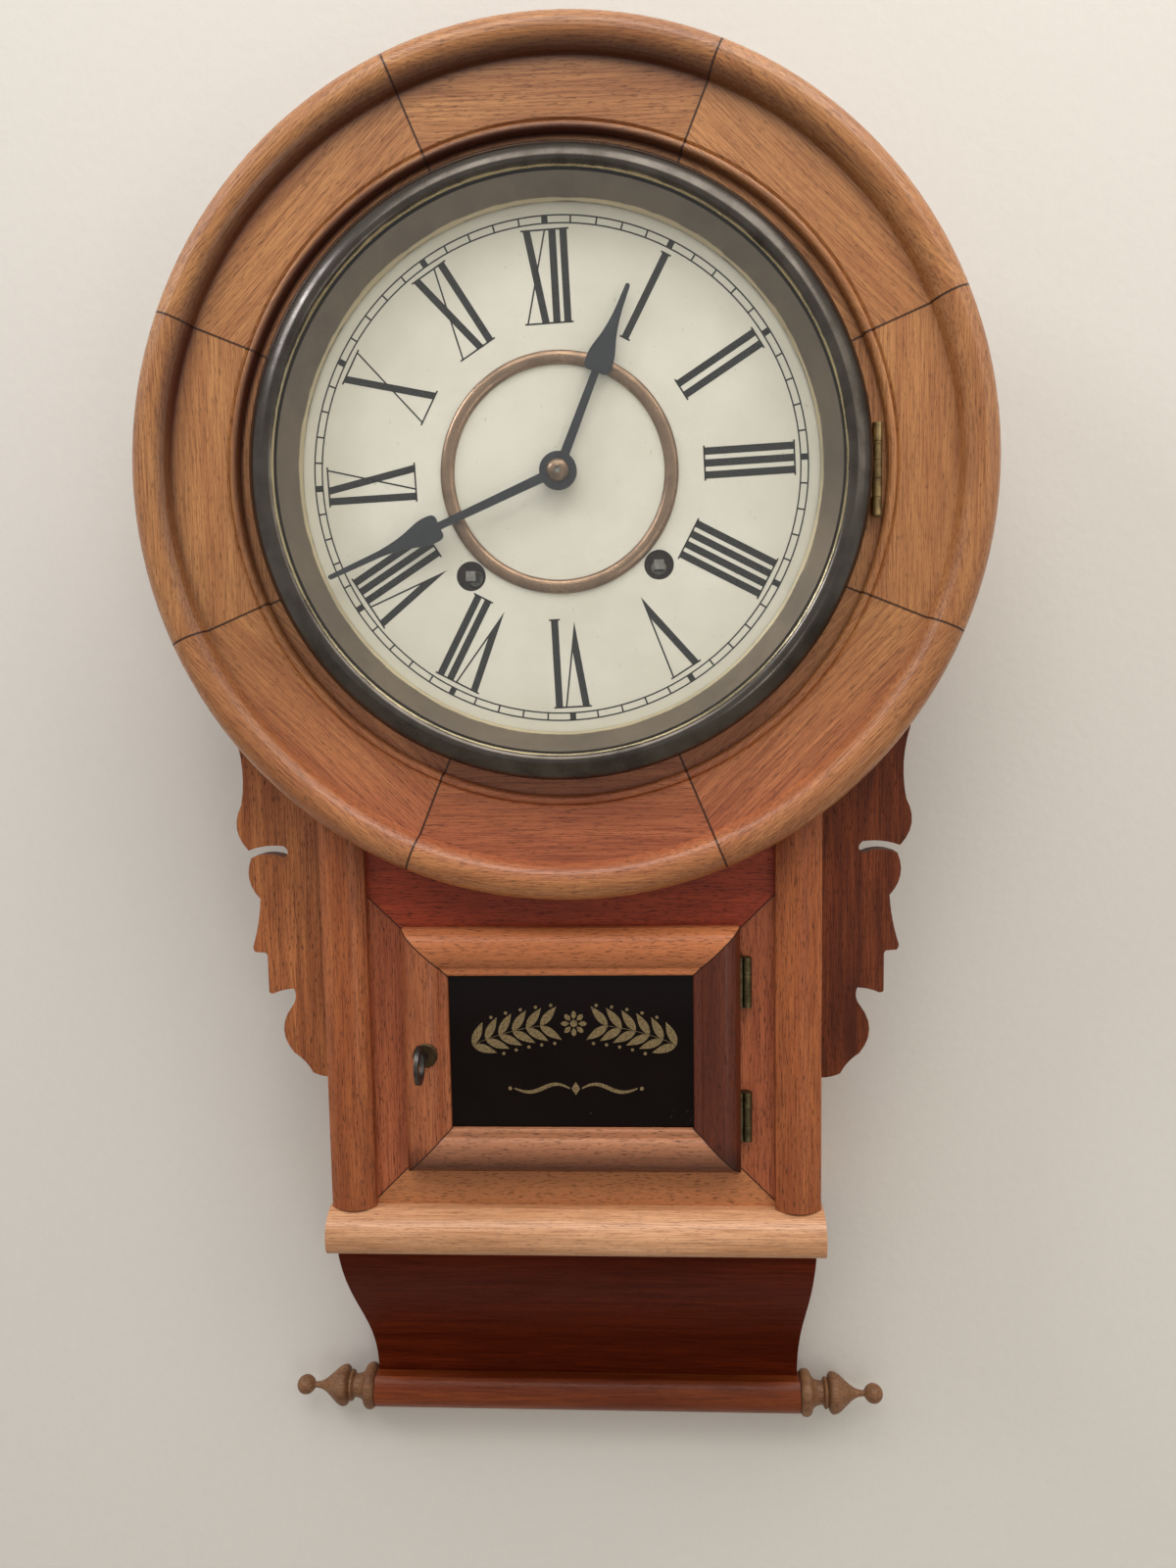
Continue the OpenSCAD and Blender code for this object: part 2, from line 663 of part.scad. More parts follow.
module dial_plate() color("ivory") difference() {
    bar(dial_r, dial_seat_d, ledge_d);
    bar(hour_pipe_r + 1.5, dial_seat_d - 1, ledge_d + 1);
    for (p = [time_arbor, strike_arbor]) at(p) bar(winding_hole_r, dial_seat_d - 1, ledge_d + 1);
    dial_screw_holes(dial_seat_d - 1, ledge_d + 1);
}

module centre_ring() color("rosybrown") turned() polygon(concat([[centre_ring_r - centre_ring_w,
    ledge_d]], [[centre_ring_r, ledge_d]], arc([centre_ring_r - centre_ring_w / 2, ledge_d + 0.2],
    centre_ring_w / 2, centre_ring_h - 0.2, 0, 180, 12)));

// Bezel: outer roll, step and inner bead, with a seat behind for the glass and sight ring

module bezel_ring() color("darkslategray") {
    step_r = bezel_in_r + 2 * inner_bead_r;
    turned() polygon(concat([[bezel_seat_r, bezel_back], [bezel_r, bezel_back]],
        arc([step_r, bezel_front - 9], bezel_r - step_r, 7.5, 0, 90, 10),
        [[step_r, bezel_front - inner_bead_r]],
        arc([bezel_in_r + inner_bead_r, bezel_front - inner_bead_r], inner_bead_r, inner_bead_r,
            10, 180, 10),
        [[bezel_in_r, bezel_glass_front], [bezel_seat_r, bezel_glass_front]]));
}

module bezel_glass() color("lightblue", 0.4)
    bar(bezel_seat_r - seat_gap, bezel_glass_back, bezel_glass_front);

module sight_ring() color("darkkhaki") {
    foot_d = bezel_back + 0.3;
    turned() polygon([[bezel_seat_r - seat_gap, bezel_glass_back],
        [bezel_in_r - 1, bezel_glass_back], [sight_r, foot_d + sight_t], [sight_r, foot_d],
        [sight_r + sight_t, foot_d], [bezel_in_r, bezel_glass_back - sight_t],
        [bezel_seat_r - seat_gap, bezel_glass_back - sight_t]]);
}

// Hinge knuckles on a vertical axis at the origin, every second one from the first named. A web from
// each towards its leaf has the corner and size given in plan.
module knuckles(length, count, first, corner, size) {
    step = length / count;
    for (i = [first : 2 : count - 1]) translate([0, 0, -length / 2 + i * step + knuckle_gap]) {
        cylinder(r = knuckle_r, h = step - 2 * knuckle_gap);
        translate(corner) cube([size[0], size[1], step - 2 * knuckle_gap]);
    }
}

// The case's half has its webs run back to the case, the moving half has them run in to the door
module case_knuckles(length, count, web) knuckles(length, count, 0, [-leaf_t / 2, 0], [leaf_t, web]);

module moving_knuckles(length, count, web) knuckles(length, count, 1, [-web, -leaf_t / 2],
    [web, leaf_t]);

module hinge_pin(length) translate([0, 0, -length / 2]) cylinder(r = hinge_pin_r, h = length);

module hinge_bore(length) translate([0, 0, -length / 2 - 1])
    cylinder(r = hinge_pin_r + run_gap, h = length + 2);

module bezel_hinge_case_leaf() color("goldenrod") {
    translate([bezel_hinge_x, -bezel_hinge_d, bezel_hinge_z]) {
        case_knuckles(bezel_hinge_len, bezel_knuckles, bezel_hinge_d - ledge_d);
        hinge_pin(bezel_hinge_len);
    }
    translate([bezel_hinge_x - leaf_t / 2, -ledge_d - leaf_t, bezel_hinge_z - bezel_hinge_len / 2])
        cube([bezel_leaf_edge - bezel_hinge_x + leaf_t / 2, leaf_t, bezel_hinge_len]);
}

// The moving half is a strap bent to the rim of the bezel
module bezel_hinge_door_leaf() color("goldenrod") difference() {
    half_angle = asin(bezel_hinge_len / 2 / bezel_r);
    tilt = asin(bezel_hinge_z / bezel_r);
    union() {
        translate([bezel_hinge_x, -bezel_hinge_d, bezel_hinge_z])
            moving_knuckles(bezel_hinge_len, bezel_knuckles, bezel_hinge_x - bezel_r - leaf_t / 2);
        rotate([90, 0, 0]) rotate_extrude(angle = 2 * half_angle, start = tilt - half_angle)
            translate([bezel_r + seat_gap, bezel_back + free_gap]) square([leaf_t, bezel_strap_w]);
    }
    translate([bezel_hinge_x, -bezel_hinge_d, bezel_hinge_z]) hinge_bore(bezel_hinge_len);
}

// Lower door: four mitred mouldings round a glass

// Section of the moulding: distance in from the edge, height above the back
function door_section() = concat([[0, 0], [0, 0.42 * door_t]],
    curve([0.3, 0.46 * door_t], [0.1 * stile_w, 0.85 * door_t], [0.2 * stile_w, door_t],
        [0.42 * stile_w, door_t], 8),
    curve([0.46 * stile_w, door_t], [0.6 * stile_w, 0.98 * door_t],
        [0.72 * stile_w, 0.9 * door_t], [0.8 * stile_w, 0.76 * door_t], 5),
    [[0.82 * stile_w, 0.7 * door_t], [0.86 * stile_w, 0.7 * door_t]],
    arc([0.92 * stile_w, 0.6 * door_t], 0.08 * stile_w, 0.1 * door_t, 100, 0, 5),
    [[stile_w, door_glass_d - door_back + door_glass_t],
    [stile_w - rebate, door_glass_d - door_back + door_glass_t],
    [stile_w - rebate, 0]]);

// One moulding, its outer edge on the X axis, cut at 45 degrees to a length
module door_member(length) intersection() {
    translate([-length / 2, 0, 0]) rotate([90, 0, 90]) linear_extrude(length)
        polygon([for (p = door_section()) [-door_back - p[1], p[0]]]);
    between(door_back - 1, door_front + 1)
        polygon([[-length / 2 + joint_line / 2, 0], [length / 2 - joint_line / 2, 0],
            [length / 2 - stile_w - joint_line / 2, stile_w], [-length / 2 + stile_w + joint_line / 2,
            stile_w]]);
}

module door_frame() color("chocolate") difference() {
    door_h = door_bottom - door_top;
    union() {
        translate([0, 0, -door_bottom]) door_member(door_w);
        translate([0, 0, -door_top]) mirror([0, 0, 1]) door_member(door_w);
        translate([-door_half, 0, door_mid_z]) rotate([0, 90, 0]) door_member(door_h);
        translate([door_half, 0, door_mid_z]) rotate([0, -90, 0]) door_member(door_h);
    }
    translate([lock_x, 0, lock_z]) {
        bar(lock_barrel_r + seat_gap, door_back - 1, door_front + 1);
        bar(lock_r + seat_gap, door_front - 1, door_front + 1);
    }
}

module door_glass() color("black") between(door_glass_d, door_glass_d + door_glass_t)
    square_at(door_half - stile_w + rebate - seat_gap, door_mid_z,
        (door_bottom - door_top) / 2 - stile_w + rebate - seat_gap);

module square_at(half, mid, tall) translate([0, mid]) square([2 * half, 2 * tall], center = true);

// Each case leaf is let into the front frame, each door leaf lies on the door's edge
module door_hinge_case_leaves() color("darkgoldenrod") for (z = door_hinge_z) {
    translate([door_hinge_x, -door_hinge_d, z]) {
        case_knuckles(door_hinge_len, door_knuckles, door_hinge_d - case_depth + leaf_t);
        hinge_pin(door_hinge_len);
    }
    hinge_mortise(z, 0);
}

module hinge_mortise(z, gap) translate([door_hinge_x + leaf_t / 2 - door_leaf_w - gap,
    -case_depth, z - door_hinge_len / 2 - gap])
    cube([door_leaf_w + 2 * gap, leaf_t + gap, door_hinge_len + 2 * gap]);

module door_hinge_door_leaves() color("darkgoldenrod") for (z = door_hinge_z) difference() {
    union() {
        translate([door_hinge_x, -door_hinge_d, z])
            moving_knuckles(door_hinge_len, door_knuckles, door_hinge_x - door_half - leaf_t / 2);
        translate([door_half, -door_back - 0.42 * door_t, z - door_hinge_len / 2])
            cube([leaf_t, 0.42 * door_t - 0.3, door_hinge_len]);
    }
    translate([door_hinge_x, -door_hinge_d, z]) hinge_bore(door_hinge_len);
}

// Lock, key and cam

module door_lock() color("darkolivegreen") translate([lock_x, 0, lock_z]) difference() {
    union() {
        turned() polygon([[0, door_front - 1], [lock_r, door_front - 1], [lock_r, lock_front - 0.6],
            [lock_r - 0.6, lock_front], [0, lock_front]]);
        bar(lock_barrel_r, cam_d + cam_t + free_gap, door_front);
    }
    bar(key_r + run_gap, cam_d, lock_front + 1);
}

module door_key() color("silver") translate([lock_x, 0, lock_z]) {
    bow_d = lock_front + key_reach - bow_r;
    difference() {
        union() {
            bar(key_r, cam_d, bow_d - bow_r + 1);
            translate([0, -bow_d, 0]) rotate([0, 90, 0]) cylinder(r = bow_r, h = bow_t, center = true);
        }
        translate([0, -bow_d, 0]) rotate([0, 90, 0])
            cylinder(r = bow_r - bow_ring, h = 2 * bow_t, center = true);
    }
}

module lock_cam() color("dimgray") translate([lock_x, 0, lock_z]) difference() {
    between(cam_d, cam_d + cam_t) union() {
        translate([-cam_half, cam_half - cam_len]) square([2 * cam_half, cam_len - cam_half]);
        translate([0, cam_half - cam_len]) circle(r = cam_half);
        circle(r = lock_barrel_r);
    }
    bar(key_r, cam_d - 1, cam_d + cam_t + 1);
}

// Hands

// Half outline of a spade hand, from behind its round boss out to its tip
function hand_half(length, spade) = concat(
    arc([0, 0], hand_boss_r, hand_boss_r, 180, asin(hand_arm / hand_boss_r), 24),
    [[spade - 2, 0.8 * hand_arm]],
    curve([spade, 0.85 * hand_arm], [spade - 1, spade_half], [spade + 2, spade_half],
        [spade + 5.5, spade_half], 6),
    curve([spade + 6.5, spade_half - 0.05], [spade + 13, spade_half - 0.6], [spade + 15, 2.6],
        [spade + 31, 1.5], 8),
    [[length - hand_tip, hand_tip]], arc([length - hand_tip, 0], hand_tip, hand_tip, 75, 0, 4));

module hand_outline(length, spade) {
    edge = hand_half(length, spade);
    polygon(concat(edge, [for (i = [len(edge) - 2 : -1 : 1]) [edge[i][0], -edge[i][1]]]));
}

module hour_hand() color("midnightblue") difference() {
    between(hour_hand_d, hour_hand_d + hand_t)
        rotate(90 - hour_angle) hand_outline(hour_len, hour_spade);
    bar(hour_pipe_r - 1, hour_hand_d - 1, hour_hand_d + 2);
}

module minute_hand() color("midnightblue") difference() {
    between(minute_hand_d, minute_hand_d + hand_t)
        rotate(90 - minute_angle) hand_outline(minute_len, minute_spade);
    bar(centre_arbor_r, minute_hand_d - 1, minute_hand_d + 2);
}

module hand_nut() color("rosybrown") difference() {
    turned() polygon(concat([[0, nut_d], [nut_r, nut_d]],
        arc([0, nut_d + 0.6], nut_r, 2.6, 0, 90, 8)));
    bar(centre_arbor_r, nut_d - 1, nut_d + 4);
}

// Movement plates, with pivot holes at every arbor

module movement_plate(d0) difference() {
    rotate([0, -movement_turn, 0]) between(d0, d0 + plate_t) polygon(concat(
        [[-plate_w / 2, -plate_down], [plate_w / 2, -plate_down], [plate_w / 2, -plate_shoulder]],
        [[plate_top / 2, plate_up], [-plate_top / 2, plate_up], [-plate_w / 2, -plate_shoulder]]));
    for (p = [second_arbor, third_arbor, escape_arbor, hammer_arbor]) at(p)
        bar(pivot_r + run_gap, d0 - 1, d0 + plate_t + 1);
    for (p = [time_arbor, strike_arbor]) at(p) bar(winding_r + run_gap, d0 - 1, d0 + plate_t + 1);
    for (p = pillar_places) at(p) bar(pillar_end_r + seat_gap, d0 - 1, d0 + plate_t + 1);
}

module movement_back_plate() color("gold") difference() {
    movement_plate(plate_back);
    bar(centre_arbor_r + run_gap, plate_back - 1, plate_back_in + 1);
    at(anchor_arbor) bar(arbor_r + 1, plate_back - 1, plate_back_in + 1);
    for (p = foot_places) at(p) bar(pillar_end_r + seat_gap, plate_back - 1, plate_back_in + 1);
}

// The front plate has a stud for the minute wheel
module movement_front_plate() color("gold") {
    difference() {
        movement_plate(plate_front_in);
        bar(cannon_r + run_gap, plate_front_in - 1, plate_front + 1);
        at(anchor_arbor) bar(pivot_r + run_gap, plate_front_in - 1, plate_front + 1);
    }
    at(minute_arbor) bar(pivot_r, plate_front_in, hour_wheel_d + wheel_t + 0.6);
}

// Pillars between the plates, and the feet that stand on the back board
module movement_pillars() color("darkgoldenrod") {
    for (p = pillar_places) at(p) {
        bar(pillar_end_r, plate_back, plate_back_in);
        bar(pillar_r, plate_back_in, plate_front_in);
        bar(pillar_end_r, plate_front_in, plate_front + 2);
    }
    for (p = foot_places) at(p) {
        bar(pillar_r + 3, back_t, back_t + 2);
        bar(pillar_r, back_t + 2, plate_back);
        bar(pillar_end_r, plate_back, plate_back_in + 1);
    }
}

// Clock wheels: teeth with tapered tips, thinned so that they run free

function tooth(n, m, a, w) = let (p = n * m / 2, h = 90 / n * w)
    [for (q = [[-1.25 * m, -1.25], [0, -1], [0.85 * m, -0.3], [0.85 * m, 0.3], [0, 1],
        [-1.25 * m, 1.25]])
        (p + q[0]) * [cos(a + q[1] * h), sin(a + q[1] * h)]];

function gear_line(n, m, w = 0.8) = [for (i = [0 : n - 1]) each tooth(n, m, 360 * i / n, w)];

// Wheel with crossings, between two depths, with a tooth at the angle phase
module wheel(n, m, d0, phase, spokes = 5) rotate([0, -phase, 0]) difference() {
    between(d0, d0 + wheel_t) polygon(gear_line(n, m));
    rim = n * m / 2 - 1.25 * m - 2.6;
    hub = 5;
    if (rim > hub + 4) for (i = [0 : spokes - 1]) rotate([0, -(i + 0.5) * 360 / spokes, 0])
        between(d0 - 1, d0 + wheel_t + 1) crossing(hub, rim, 180 / spokes);
}

// Opening between two spokes of a wheel
module crossing(hub, rim, half) {
    inset = 1.3;
    a = half - asin(inset / hub);
    b = half - asin(inset / rim);
    polygon(concat([for (i = [-3 : 3]) rim * [cos(b * i / 3), sin(b * i / 3)]],
        [for (i = [2 : -1 : -2]) hub * [cos(a * i / 2), sin(a * i / 2)]]));
}

module pinion(n, m, d0, d1, phase) rotate([0, -phase, 0])
    between(d0, d1) polygon(gear_line(n, m, 0.62));

// Wheel train of the time side

module winding_arbor() {
    bar(winding_r, plate_back, plate_back_in);
    bar(hub_r, plate_back_in, plate_front_in);
    bar(winding_r, plate_front_in, plate_front + 3);
    between(plate_front + 3, ledge_d + 1.5) square(winding_square, center = true);
    between(great_d - 4, great_d - 2.2) ratchet();
}

// Ratchet wheel with sloped teeth
module ratchet() polygon([for (i = [0 : ratchet_teeth - 1]) let (a = 360 * i / ratchet_teeth)
    each [ratchet_r * [cos(a), sin(a)], 0.8 * ratchet_r * [cos(a + 3), sin(a + 3)]]]);

module time_winding_arbor() color("silver") at(time_arbor) winding_arbor();

module strike_winding_arbor() color("silver") at(strike_arbor) winding_arbor();

// Open mainsprings, wound round their arbors
module mainsprings() color("steelblue") for (p = [time_arbor, strike_arbor]) at(p)
    between(spring_d, spring_d + mainspring_w)
        polygon(spiral(mainspring_r, hub_r + free_gap, 6, mainspring_t));

module great_wheel(phase) difference() {
    union() {
        wheel(great_teeth, great_mod, great_d, phase, 6);
        bar(6.5, great_d - 1.6, great_d + wheel_t + 1.6);
    }
    bar(hub_r + run_gap, great_d - 3, great_d + wheel_t + 3);
}

module time_great_wheel() color("gold") at(time_arbor)
    great_wheel(bearing(time_arbor, second_arbor));

module strike_great_wheel() color("gold") at(strike_arbor) great_wheel(0);

// Arbor with its wheel and the pinion that drives it
module train_arbor(n, m, d, phase, pin_m, pin_d0, pin_d1, pin_phase) {
    bar(pivot_r, plate_back, plate_back_in + 0.5);
    bar(arbor_r, plate_back_in + 0.5, plate_front_in - 0.5);
    bar(pivot_r, plate_front_in - 0.5, plate_front);
    wheel(n, m, d, phase);
    bar(4, d - 1, d + wheel_t + 1);
    pinion(pinion_teeth, pin_m, pin_d0, pin_d1, pin_phase);
}

module second_wheel() color("gold") at(second_arbor) train_arbor(second_teeth, second_mod, second_d,
    bearing(second_arbor, [0, 0]), great_mod, great_d - 1, great_d + wheel_t + 1,
    bearing(second_arbor, time_arbor) + 180 / pinion_teeth);

// Centre wheel and pinion on a pipe that turns on the centre arbor
module centre_wheel() color("gold") difference() {
    pinion_root = (pinion_teeth / 2 - 1.25) * second_mod;
    union() {
        wheel(centre_teeth, centre_mod, centre_d, bearing([0, 0], third_arbor));
        bar(pinion_root, second_d - 2, centre_d + wheel_t + 1);
        bar(4, centre_d - 1, centre_d + wheel_t + 1);
        pinion(pinion_teeth, second_mod, second_d - 1, second_d + wheel_t + 1,
            bearing([0, 0], second_arbor) + 180 / pinion_teeth);
    }
    bar(centre_arbor_r + run_gap, second_d - 4, centre_d + wheel_t + 2);
}

module third_wheel() color("gold") at(third_arbor) train_arbor(third_teeth, third_mod, third_d,
    bearing(third_arbor, escape_arbor), centre_mod, centre_d - 1, centre_d + wheel_t + 1,
    bearing(third_arbor, [0, 0]) + 180 / pinion_teeth);

// Escape wheel with raked teeth
module escape_wheel() color("gold") at(escape_arbor) {
    bar(pivot_r, plate_back, plate_back_in + 0.5);
    bar(arbor_r, plate_back_in + 0.5, plate_front_in - 0.5);
    bar(pivot_r, plate_front_in - 0.5, plate_front);
    pinion(pinion_teeth, third_mod, third_d - 1, third_d + wheel_t + 1,
        bearing(escape_arbor, third_arbor) + 180 / pinion_teeth);
    root = escape_r - 2;
    between(escape_d, escape_d + 1) polygon([for (i = [0 : escape_teeth - 1])
        let (a = 360 * i / escape_teeth, foot = a + 200 / escape_teeth, tip = a + 332 / escape_teeth)
            each [root * [cos(a), sin(a)], root * [cos(foot), sin(foot)],
                escape_r * [cos(tip), sin(tip)]]]);
}

// Anchor with two pallets, its arbor, and the crutch that meets the pendulum behind the plate
module anchor() color("silver") at(anchor_arbor) {
    bar(pivot_r, bridge_d, bridge_d + bridge_t);
    bar(arbor_r, bridge_d + bridge_t + 0.3, plate_front_in - 0.5);
    bar(pivot_r, bridge_d + bridge_t, plate_front);
    heel = [pallet_x, -pallet_drop];
    tip = heel + [-1.6, -0.6];
    throat = heel + [-2.2, 1.2];
    rotate([0, -movement_turn, 0]) between(escape_d - 1, escape_d + 2) polygon(concat(
        bow([-heel[0], heel[1]], heel, anchor_rise, 10), [heel, tip],
        bow(throat, [-throat[0], throat[1]], 3.9 - anchor_rise, 10),
        [[-throat[0], throat[1]], [-tip[0], tip[1]]]));
    between(crutch_d, crutch_d + 1.6) {
        translate([-1.5, -crutch_len]) square([3, crutch_len]);
        translate([-crutch_half, -crutch_len]) square([2 * crutch_half, 4]);
    }
    for (side = [-1, 1]) between(pendulum_depth - rod_r - 1, crutch_d)
        translate([side * (crutch_half - 1) - 1, -crutch_len]) square([2, 4]);
}

// Centre arbor with the cannon pinion that carries the minute hand
module centre_arbor() color("silver") {
    bar(centre_arbor_r, plate_back, nut_d + 1.5);
    bar(cannon_r, plate_front_in - 1, minute_hand_d);
    pinion(cannon_teeth, motion_mod, cannon_d - 0.2, cannon_d + wheel_t + 0.4,
        bearing([0, 0], minute_arbor));
}

// Minute wheel with its pinion, on a stud in the front plate
module minute_wheel() color("gold") at(minute_arbor) difference() {
    union() {
        wheel(minute_teeth, motion_mod, cannon_d, bearing(minute_arbor, [0, 0]) + 180 / minute_teeth);
        pinion(minute_pinion_teeth, motion_mod * 0.96, cannon_d, hour_wheel_d + wheel_t,
            bearing(minute_arbor, [0, 0]));
    }
    bar(pivot_r + run_gap, cannon_d - 1, hour_wheel_d + wheel_t + 1);
}

// Hour wheel with the pipe that carries the hour hand
module hour_wheel() color("gold") difference() {
    union() {
        wheel(hour_teeth, motion_mod * 0.96, hour_wheel_d,
            bearing([0, 0], minute_arbor) + 180 / hour_teeth);
        bar(hour_pipe_r, hour_wheel_d, hour_hand_d);
        bar(hour_pipe_r - 1, hour_hand_d, hour_hand_d + hand_t);
    }
    bar(cannon_r + run_gap, hour_wheel_d - 1, hour_hand_d + hand_t + 1);
}

// Pendulum with its suspension

// Bridge on the back plate: it bears the anchor's rear pivot and clamps the suspension spring
module suspension_cock() color("darkgoldenrod") at(anchor_arbor) difference() {
    union() {
        between(bridge_d, bridge_d + bridge_t) translate([-cock_half, -4])
            square([2 * cock_half, 10 + cock_foot]);
        between(bridge_d, plate_back) translate([-cock_half, 6]) square([2 * cock_half, cock_foot]);
        for (side = [-1, 1]) between(pendulum_depth - spring_half - 0.5, bridge_d)
            translate([side * 2 - 1.5, 4]) square([3, 6]);
    }
    bar(pivot_r + run_gap, bridge_d - 1, bridge_d + bridge_t + 1);
}

module suspension_spring() color("lightsteelblue") translate([suspension_x, 0, suspension_z])
    between(pendulum_depth - spring_half, pendulum_depth + spring_half)
        translate([-0.1, -spring_len]) square([0.2, 2 * spring_len]);

module pendulum_rod() color("silver") translate([suspension_x, -pendulum_depth, 0]) difference() {
    union() {
        translate([0, 0, rod_bottom]) cylinder(r = rod_r, h = suspension_z - spring_len - 3 - rod_bottom);
        translate([-2, -spring_half - 0.4, suspension_z - spring_len - 4])
            cube([4, 2 * spring_half + 0.8, 6]);
    }
    translate([-0.1 - seat_gap, -spring_half - 1, suspension_z - spring_len - seat_gap])
        cube([0.2 + 2 * seat_gap, 2 * spring_half + 2, 4]);
}

// Lens-shaped bob with a narrow rim, bored through for the rod
module pendulum_bob() color("goldenrod") translate([suspension_x, 0, bob_z]) difference() {
    dome = bob_t / 2 - bob_rim / 2;
    turned() polygon(concat([[0, pendulum_depth - bob_t / 2]],
        arc([0, pendulum_depth - bob_rim / 2], bob_r, dome, -80, 0, 8),
        arc([0, pendulum_depth + bob_rim / 2], bob_r, dome, 0, 80, 8),
        [[0, pendulum_depth + bob_t / 2]]));
    translate([0, -pendulum_depth, -bob_r - 1]) cylinder(r = rod_r + run_gap, h = 2 * bob_r + 2);
}

module rating_nut() color("gold") translate([suspension_x, -pendulum_depth, nut_z]) difference() {
    cylinder(r = 5, h = rating_h);
    translate([0, 0, -1]) cylinder(r = rod_r + run_gap, h = rating_h + 2);
}

// Strike: a flat spiral gong on a cast post, and its hammer

module gong_coil() color("slategray") translate([0, 0, -gong_drop])
    between(gong_d, gong_d + gong_wire) polygon(spiral(gong_r, gong_post_r, gong_turns, gong_wire));

module gong_block() color("dimgray") translate([0, 0, -gong_drop]) {
    bar(gong_post_r + 6, back_t, back_t + 3);
    bar(gong_post_r, back_t + 3, gong_d + gong_wire + 1.5);
}

// Hammer on its arbor, with a wire down to the head beside the gong
module strike_hammer() color("silver") {
    at(hammer_arbor) {
        bar(pivot_r, hammer_d - 1, plate_front);
        bar(arbor_r, plate_back_in + 0.5, plate_front_in - 0.5);
    }
    translate([hammer_x, -hammer_d, hammer_z])
        cylinder(r = pivot_r, h = turned_at(hammer_arbor)[1] - hammer_z);
    translate([hammer_x, 0, hammer_z]) bar(pivot_r, gong_d - 1, hammer_d + pivot_r);
    translate([hammer_x - 5, -gong_d - gong_wire / 2, hammer_z]) rotate([0, 90, 0])
        cylinder(r = 3 * pivot_r, h = 11);
}

back_board();
left_side_board();
right_side_board();
top_board();
bottom_board();
front_frame();
left_pilaster();
right_pilaster();
waist_moulding();
base_front();
base_cheeks();
bottom_rail();
left_finial();
right_finial();
left_ear();
right_ear();
surround();
hanger_plate();
wood_screws();
dial_plate();
centre_ring();
bezel_ring();
sight_ring();
bezel_glass();
bezel_hinge_door_leaf();
bezel_hinge_case_leaf();
door_frame();
door_glass();
door_hinge_door_leaves();
door_hinge_case_leaves();
door_lock();
door_key();
lock_cam();
hour_hand();
minute_hand();
hand_nut();
movement_back_plate();
movement_front_plate();
movement_pillars();
time_winding_arbor();
strike_winding_arbor();
mainsprings();
time_great_wheel();
strike_great_wheel();
second_wheel();
centre_wheel();
third_wheel();
escape_wheel();
anchor();
centre_arbor();
minute_wheel();
hour_wheel();
suspension_cock();
suspension_spring();
pendulum_rod();
pendulum_bob();
rating_nut();
gong_coil();
gong_block();
strike_hammer();
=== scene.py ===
# %% [markdown]
# # A wall clock with a round wooden surround
# The solid model is loaded first and is never moved. Everything made here is either a
# finish on one of its pieces or a small piece that is set on it. Sizes are written in
# millimetres and turned to metres by one factor, because Blender works in metres.

# %% Load the frame
import math
import bpy
from mathutils import Matrix, Vector


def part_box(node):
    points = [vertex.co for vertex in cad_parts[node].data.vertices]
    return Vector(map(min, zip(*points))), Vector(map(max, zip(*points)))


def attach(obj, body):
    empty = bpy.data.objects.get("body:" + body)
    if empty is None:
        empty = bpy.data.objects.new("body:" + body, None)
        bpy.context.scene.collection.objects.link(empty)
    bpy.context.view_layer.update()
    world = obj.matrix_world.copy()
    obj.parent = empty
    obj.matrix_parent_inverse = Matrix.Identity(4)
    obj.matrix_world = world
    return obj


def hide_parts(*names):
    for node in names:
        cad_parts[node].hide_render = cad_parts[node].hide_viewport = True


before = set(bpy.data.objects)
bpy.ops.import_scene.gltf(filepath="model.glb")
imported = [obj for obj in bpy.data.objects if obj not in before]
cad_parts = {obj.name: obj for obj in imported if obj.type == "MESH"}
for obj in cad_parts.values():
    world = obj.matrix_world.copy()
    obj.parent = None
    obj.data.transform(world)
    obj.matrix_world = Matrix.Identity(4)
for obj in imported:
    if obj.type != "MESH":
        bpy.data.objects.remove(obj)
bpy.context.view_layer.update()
MM = 0.001

# %% [markdown]
# ## The camera
# The photograph was taken close to the clock, a little to its right and below the dial's
# centre, looking slightly down and to the left. Place, turn and focal length were worked
# out from the round surround, the bezel and the corners of the box. A camera looks along
# its own -Z, so its axes are the picture's right, the picture's up and the look reversed.

# %% Camera
def linked(name, data):
    """A new object in the scene."""
    made = bpy.data.objects.new(name, data)
    bpy.context.collection.objects.link(made)
    return made


LONG_SIDE = 1600
FOCAL_IN_PIXELS = 1164.8
camera_place = Vector((39.894, -640.704, -93.218)) * MM
yaw, pitch, roll = -0.0525905, -0.0976027, -0.0166985  # radians
look = Vector((math.sin(yaw) * math.cos(pitch), math.cos(yaw) * math.cos(pitch), math.sin(pitch)))
level = Vector((math.cos(yaw), -math.sin(yaw), 0))
rise = level.cross(look)
right = level * math.cos(roll) + rise * math.sin(roll)
up = rise * math.cos(roll) - level * math.sin(roll)
camera_data = bpy.data.cameras.new("camera")
camera_data.sensor_width = 36  # mm
camera_data.lens = camera_data.sensor_width * FOCAL_IN_PIXELS / LONG_SIDE
camera_data.clip_start = 0.01  # m
camera = linked("camera", camera_data)
turn = Matrix((right, up, -look)).transposed().to_4x4()
camera.matrix_world = Matrix.Translation(camera_place) @ turn
bpy.context.scene.camera = camera
bpy.context.scene.view_settings.view_transform = "Standard"
print("Lens in mm:", round(camera_data.lens, 2))

